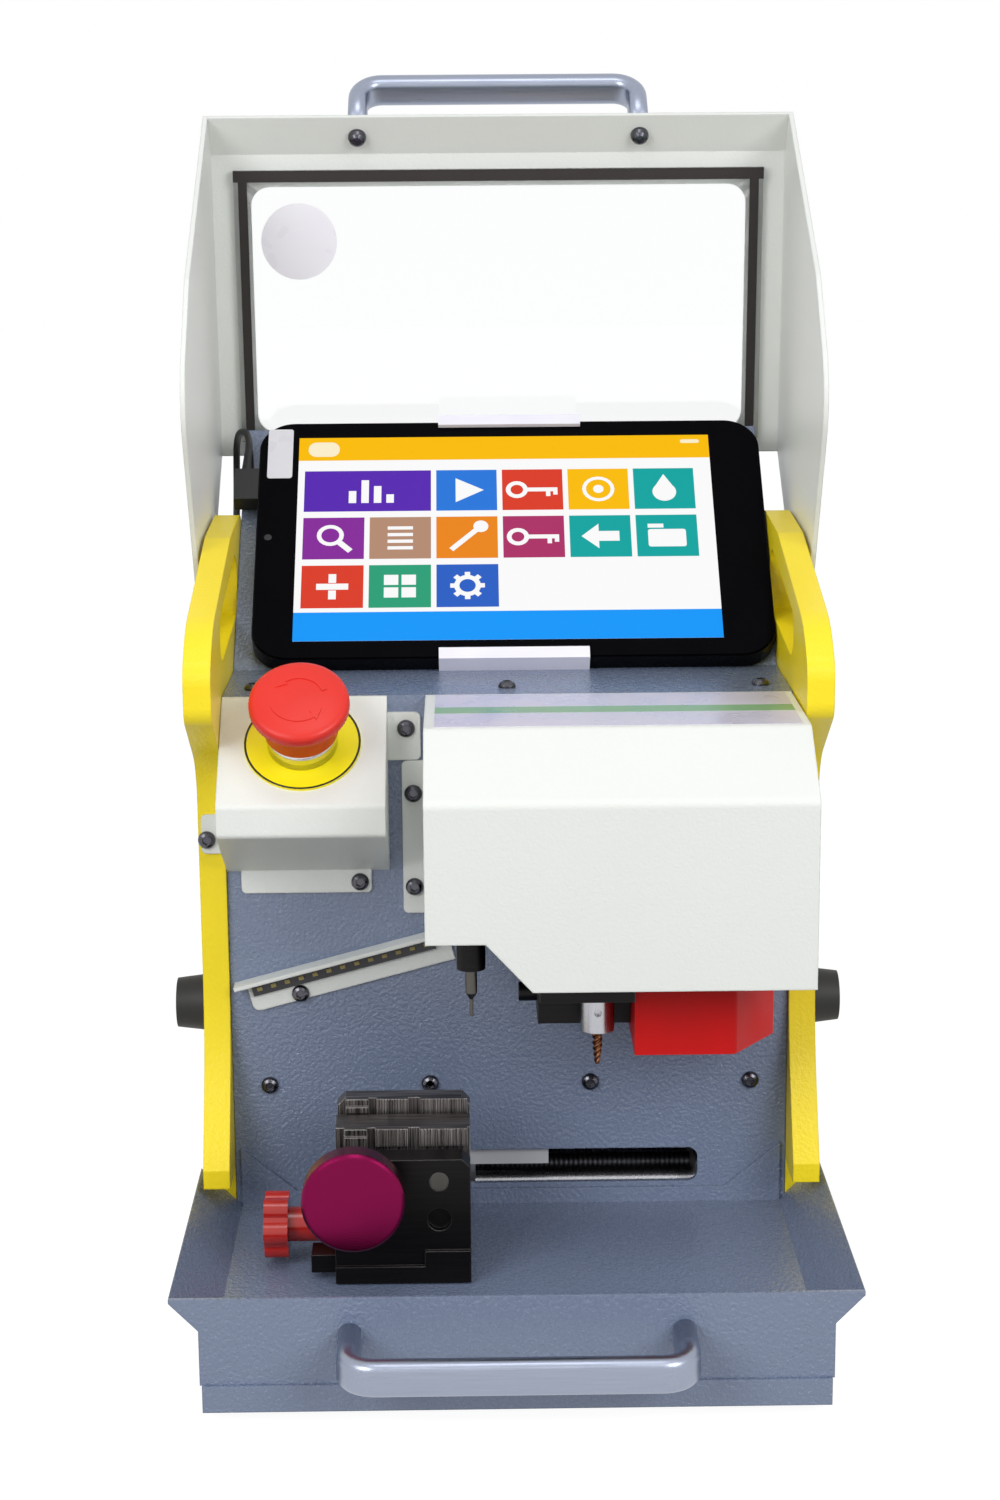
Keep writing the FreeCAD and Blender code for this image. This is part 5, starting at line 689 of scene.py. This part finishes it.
lamps = bmesh.new()
for number in range(LAMP_COUNT):
    run = LAMP_FIRST + LAMP_PITCH * number
    outline = rectangle(run - LAMP_HALF[0], run + LAMP_HALF[0],
                        LAMP_RISE - LAMP_HALF[1], LAMP_RISE + LAMP_HALF[1])
    prism(lamps, on_light, outline, LAMP_FACE - LAMP_SINK, LAMP_FACE + LAMP_HEIGHT)
keep("strip_lamps", lamps, [PHOSPHOR], "frame")

# Bar handles: a flat bar with well rounded edges, bent to a U
HANDLE_SPAN = 118.0
HANDLE_REACH = 34.0
HANDLE_BAR = 13.0
HANDLE_THICK = 8.0
HANDLE_BEND = 14.0
HANDLE_ROUND = 3.4
BEND_STEPS = 10
EDGE_STEPS = 5


def handle_line():
    """Stations on the bar's middle line: place across, reach and the way the bar runs there."""
    bend = HANDLE_BEND - HANDLE_THICK / 2
    inner = HANDLE_SPAN / 2 - bend
    start = HANDLE_REACH - HANDLE_BEND
    turns = [math.pi / 2 * k / BEND_STEPS for k in range(BEND_STEPS + 1)]
    left = [(-inner - bend * math.cos(a), start + bend * math.sin(a), math.pi / 2 - a) for a in turns]
    right = [(-across, reach, -way) for across, reach, way in reversed(left)]
    return [(-HANDLE_SPAN / 2, 0.0, math.pi / 2), *left, *right, (HANDLE_SPAN / 2, 0.0, -math.pi / 2)]


def bent_bar(name, place, body, replaces):
    """A U-shaped bar; place takes a spot across, its reach from the sheet and its offset over the width."""
    bm = bmesh.new()
    section = round_rectangle(-HANDLE_THICK / 2, HANDLE_THICK / 2, -HANDLE_BAR / 2, HANDLE_BAR / 2,
                              HANDLE_ROUND, EDGE_STEPS)
    rings = [[bm.verts.new(place(across - side * math.sin(way), reach + side * math.cos(way), offset))
              for side, offset in section] for across, reach, way in handle_line()]
    for first, second in zip(rings, rings[1:]):
        for k in range(len(section)):
            after = (k + 1) % len(section)
            bm.faces.new((first[k], first[after], second[after], second[k])).smooth = True
    bm.faces.new(rings[0][::-1])
    bm.faces.new(rings[-1])
    keep(name, bm, [BRUSHED_ALUMINIUM], body, [replaces])


handle_low, handle_high = (Vector(corner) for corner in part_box("front_handle"))
bent_bar("front_bar_handle",
         lambda across, reach, offset: Vector((across * MM, handle_high.y - reach * MM,
                                               (handle_low.z + handle_high.z) / 2 + offset * MM)),
         "frame", "front_handle")
bent_bar("hood_bar_handle",
         lambda across, reach, offset: on_brow(across, BROW_LENGTH / 2 + offset, -reach),
         "lid", "lid_handle")

# Socket-head screws: one turned head, repeated on the rows of screws by a node tree
HEAD_RADIUS = 3.4
HEAD_HEIGHT = 2.4
SOCKET_FLATS = 1.45
SOCKET_DEPTH = 1.3
HEAD_SIDES = 24
# Shape of a head: its bevel as a share of the radius, its straight side as a share of the height, and where
# the middle of its dome lies on bevel and height
HEAD_BEVEL = 0.45
HEAD_SIDE = 0.35
DOME_IN = 0.35
DOME_UP = 0.75


def screw_head(name, radius, height, flats):
    """A button or cap head with a hexagon socket, standing on the origin along Z, in metres."""
    bm = bmesh.new()
    bevel = radius * HEAD_BEVEL
    outer = [(radius, 0.0), (radius, height * HEAD_SIDE), (radius - bevel * DOME_IN, height * DOME_UP),
             (radius - bevel, height)]
    rings = [[spot] * HEAD_SIDES for spot in outer]
    socket = [flats / math.cos((2 * math.pi * k / HEAD_SIDES + math.pi / 6) % (math.pi / 3) - math.pi / 6)
              for k in range(HEAD_SIDES)]
    rings.append([(reach, height) for reach in socket])
    rings.append([(reach, height - SOCKET_DEPTH) for reach in socket])
    made = []
    for ring in rings:
        made.append([bm.verts.new(Vector((r * math.cos(2 * math.pi * k / HEAD_SIDES),
                                          r * math.sin(2 * math.pi * k / HEAD_SIDES), h)) * MM)
                     for k, (r, h) in enumerate(ring)])
    for low, high in zip(made, made[1:]):
        for k in range(HEAD_SIDES):
            bm.faces.new((low[k], low[(k + 1) % HEAD_SIDES], high[(k + 1) % HEAD_SIDES], high[k]))
    bm.faces.new(made[0][::-1])
    bm.faces.new(made[-1])
    bmesh.ops.recalc_face_normals(bm, faces=bm.faces)
    mesh = bpy.data.meshes.new(name)
    bm.to_mesh(mesh)
    bm.free()
    return bpy.data.objects.new(name, mesh)


def screw_tree():
    """Stands one screw on every point, turned to the point's facing."""
    tree = bpy.data.node_groups.new("screw_rows", "GeometryNodeTree")
    tree.interface.new_socket("Geometry", in_out="INPUT", socket_type="NodeSocketGeometry")
    tree.interface.new_socket("Screw", in_out="INPUT", socket_type="NodeSocketObject")
    tree.interface.new_socket("Finish", in_out="INPUT", socket_type="NodeSocketMaterial")
    tree.interface.new_socket("Geometry", in_out="OUTPUT", socket_type="NodeSocketGeometry")
    entry = add(tree, "NodeGroupInput")
    facing = add(tree, "GeometryNodeInputNamedAttribute", {"Name": "facing"}, data_type="FLOAT_VECTOR")
    turn = add(tree, "FunctionNodeAlignRotationToVector", {"Vector": facing.outputs["Attribute"]}, axis="Z")
    head = add(tree, "GeometryNodeObjectInfo", {"Object": entry.outputs["Screw"]})
    stand = add(tree, "GeometryNodeInstanceOnPoints", {"Points": entry.outputs["Geometry"],
                                                       "Instance": head.outputs["Geometry"],
                                                       "Rotation": turn.outputs["Rotation"]})
    real = add(tree, "GeometryNodeRealizeInstances", {"Geometry": stand.outputs["Instances"]})
    coat = add(tree, "GeometryNodeSetMaterial", {"Geometry": real.outputs["Geometry"],
                                                 "Material": entry.outputs["Finish"]})
    add(tree, "NodeGroupOutput", {"Geometry": coat.outputs["Geometry"]})
    return tree


SCREW_TREE = screw_tree()


def screw_rows(name, screw, spots, finish, body, replaces):
    """Screws at a list of (place, facing), made into one plain mesh."""
    mesh = bpy.data.meshes.new(name + "_spots")
    mesh.from_pydata([place for place, facing in spots], [], [])
    facings = mesh.attributes.new("facing", "FLOAT_VECTOR", "POINT")
    for number, (place, facing) in enumerate(spots):
        facings.data[number].vector = facing
    holder = bpy.data.objects.new(name + "_holder", mesh)
    bpy.context.scene.collection.objects.link(holder)
    rows = holder.modifiers.new("rows", "NODES")
    rows.node_group = SCREW_TREE
    sockets = {item.name: item.identifier
               for item in SCREW_TREE.interface.items_tree if item.in_out == "INPUT"}
    rows[sockets["Screw"]] = screw
    rows[sockets["Finish"]] = finish
    graph = bpy.context.evaluated_depsgraph_get()
    made = bpy.data.objects.new(name, bpy.data.meshes.new_from_object(holder.evaluated_get(graph)))
    bpy.data.objects.remove(holder)
    bpy.context.scene.collection.objects.link(made)
    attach(made, body)
    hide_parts(*replaces)


FRONT = Vector((0, -1, 0))
UP = Vector((0, 0, 1))
PANEL_SCREW_Z = 77.0
PANEL_SCREW_PITCH = 63.0
LEDGE_SCREW_PITCH = 98.0
LEDGE_SCREW_Y = 14.0
FLANGE = 1.2
CAP_RADIUS = 3.8
CAP_HEIGHT = 3.8
CAP_FLATS = 1.7
panel_spots = [(at(step * PANEL_SCREW_PITCH / 2, 0, PANEL_SCREW_Z), FRONT) for step in (-3, -1, 1, 3)]
panel_spots += [(at(step * LEDGE_SCREW_PITCH, LEDGE_SCREW_Y, LEDGE_Z), UP) for step in (-1, 0, 1)]
TAB_SCREWS = [(-36.5, 194.6), (-36.5, 157.6), (-38.9, 220.1), (-57.5, 159.8), (-81.5, 115.0)]
SIDE_SCREW = (-115.9, -3.2, 177.6)
panel_spots += [(at(x, -FLANGE, z), FRONT) for x, z in TAB_SCREWS] + [(at(*SIDE_SCREW), FRONT)]
button_head = screw_head("button_head", HEAD_RADIUS, HEAD_HEIGHT, SOCKET_FLATS)
screw_rows("socket_screws", button_head, panel_spots, SCREW_STEEL, "frame", ["panel_screws"])
cap_head = screw_head("cap_head", CAP_RADIUS, CAP_HEIGHT, CAP_FLATS)
brow_out = on_brow(0, 0, 1) - on_brow(0, 0, 0)
brow_spots = [(on_brow(side * HANDLE_SPAN / 2, BROW_LENGTH / 2, LID_SHEET), brow_out.normalized())
              for side in (-1, 1)]
screw_rows("hood_handle_screws", cap_head, brow_spots, SCREW_STEEL, "lid",
           ["lid_handle_screws"])

# Cutter: a fluted end mill that winds up from its tip
CUTTER_SPOT = (32.0, -45.0)
CUTTER_TIP = 100.2
CUTTER_TOP = 128.6
FLUTE_LENGTH = 11.0
FLUTE_RISE = 7.0
FLUTES = 3
FLUTE_DEPTH = 0.42
FLUTE_STEPS = 22
FLUTE_RUNOUT = 0.6
FLUTE_SHARPNESS = 1.5
TIP_RADIUS = 1.0
SHANK_RADIUS = 1.95
TAPER_LENGTH = 7.0
CUTTER_SIDES = 24
mill = bmesh.new()
levels = [CUTTER_TIP + FLUTE_LENGTH * k / FLUTE_STEPS for k in range(FLUTE_STEPS + 1)]
levels += [CUTTER_TIP + FLUTE_LENGTH + FLUTE_RUNOUT, CUTTER_TOP]
rows = []
for z in levels:
    climb = z - CUTTER_TIP
    twist = 2 * math.pi * climb / FLUTE_RISE
    deep = FLUTE_DEPTH if climb <= FLUTE_LENGTH else 0.0
    reach = TIP_RADIUS + (SHANK_RADIUS - TIP_RADIUS) * min(climb / TAPER_LENGTH, 1)
    ring = []
    for k in range(CUTTER_SIDES):
        angle = 2 * math.pi * k / CUTTER_SIDES
        hollow = deep * (0.5 - 0.5 * math.cos(FLUTES * angle)) ** FLUTE_SHARPNESS
        ring.append(mill.verts.new(at(CUTTER_SPOT[0] + reach * (1 - hollow) * math.cos(angle + twist),
                                      CUTTER_SPOT[1] + reach * (1 - hollow) * math.sin(angle + twist), z)))
    rows.append(ring)
for low, high in zip(rows, rows[1:]):
    for k in range(CUTTER_SIDES):
        after = (k + 1) % CUTTER_SIDES
        mill.faces.new((low[k], low[after], high[after], high[k])).smooth = True
mill.faces.new(rows[0][::-1])
mill.faces.new(rows[-1])
keep("fluted_cutter", mill, [COATED_CARBIDE], "spindle", ["cutter"])

# The tablet's lead: a thin round cable on the route of the source, in millimetres of the finished frame
LEAD = [(-106.5, 121.58, 317.27), (-106.5, 128.59, 323.68), (-111.5, 137.85, 324.0), (-113.6, 145.25, 318.2),
        (-114.1, 147.65, 307.6), (-114.2, 146.25, 296.7), (-114.2, 141.15, 285.8), (-114.2, 132.95, 277.0),
        (-114.2, 116.59, 267.9)]
LEAD_DIAMETER = 3.0
route = bpy.data.curves.new("tablet_lead", "CURVE")
route.dimensions = "3D"
route.bevel_depth = LEAD_DIAMETER / 2 * MM
route.bevel_resolution = 6
route.use_fill_caps = True
line = route.splines.new("NURBS")
line.points.add(len(LEAD) - 1)
for point, spot in zip(line.points, LEAD):
    point.co = (*(Vector(spot) * MM), 1)
line.order_u = 3
line.use_endpoint_u = True
line.resolution_u = 12
tablet_lead = bpy.data.objects.new("tablet_lead", route)
bpy.context.scene.collection.objects.link(tablet_lead)
route.materials.append(BLACK_ABS)
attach(tablet_lead, "frame")
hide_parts("usb_lead")

# Floor and light: white ground, broad soft lamps in front and above, a pale world
FLOOR_HALF = 6.0
floor_mesh = bpy.data.meshes.new("floor")
floor_corners = rectangle(-FLOOR_HALF, FLOOR_HALF, -FLOOR_HALF, FLOOR_HALF)
floor_mesh.from_pydata([(x, y, 0) for x, y in floor_corners], [], [(0, 1, 2, 3)])
floor = bpy.data.objects.new("floor", floor_mesh)
bpy.context.scene.collection.objects.link(floor)
# Seamless studio paper: white to the eye and in reflections, so that only contact shadows show on it
PAPER, paper_tree, paper_shader = new_material("matt_white_paper", {
    "Base Color": linear("#9C9C9A"), "Roughness": 0.9, "Specular IOR Level": 0.0})


def direct_rays(tree):
    """One for rays from the camera, from mirror reflections and through glass, else nothing."""
    rays = add(tree, "ShaderNodeLightPath").outputs
    seen = add(tree, "ShaderNodeMath", {0: rays["Is Camera Ray"], 1: rays["Is Transmission Ray"]},
               operation="MAXIMUM")
    return add(tree, "ShaderNodeMath", {0: seen.outputs[0], 1: rays["Is Glossy Ray"]},
               operation="MAXIMUM").outputs[0]


PAPER_GLOW = 1.8
GLOW_SHARE = 0.52
glow = add(paper_tree, "ShaderNodeEmission", {"Color": (1, 1, 1, 1), "Strength": PAPER_GLOW})
share = add(paper_tree, "ShaderNodeMapRange", {0: direct_rays(paper_tree), 3: 0.0, 4: GLOW_SHARE})
veil = add(paper_tree, "ShaderNodeMixShader", {0: share.outputs[0], 1: paper_shader.outputs["BSDF"],
                                               2: glow.outputs["Emission"]})
paper_out = next(item for item in paper_tree.nodes if item.type == "OUTPUT_MATERIAL")
paper_tree.links.new(veil.outputs["Shader"], paper_out.inputs["Surface"])
floor_mesh.materials.append(PAPER)

WORLD_LIGHT = 0.47
world = bpy.data.worlds.new("studio")
bpy.context.scene.world = world
world.use_nodes = True
sky = world.node_tree
sky.nodes.clear()
strength = add(sky, "ShaderNodeMapRange", {0: direct_rays(sky), 3: WORLD_LIGHT, 4: 1.0})
ground = add(sky, "ShaderNodeBackground", {"Color": (1, 1, 1, 1), "Strength": strength.outputs[0]})
add(sky, "ShaderNodeOutputWorld", {"Surface": ground.outputs["Background"]})
LAMPS = [
    ("left_softbox", (-0.8, -1.1, 0.85), 0.8, 8.7),
    ("right_softbox", (0.8, -1.1, 0.85), 0.8, 8.4),
    ("top_softbox", (0.0, -0.5, 1.6), 0.6, 2.6),
]
LAMP_AIM = Vector((0, 0, 0.22))
for name, spot, size, power in LAMPS:
    lamp = bpy.data.lights.new(name, "AREA")
    lamp.energy = power
    lamp.shape = "DISK"
    lamp.size = size
    holder = bpy.data.objects.new(name, lamp)
    bpy.context.scene.collection.objects.link(holder)
    holder.location = spot
    holder.rotation_euler = (LAMP_AIM - Vector(spot)).to_track_quat("-Z", "Y").to_euler()
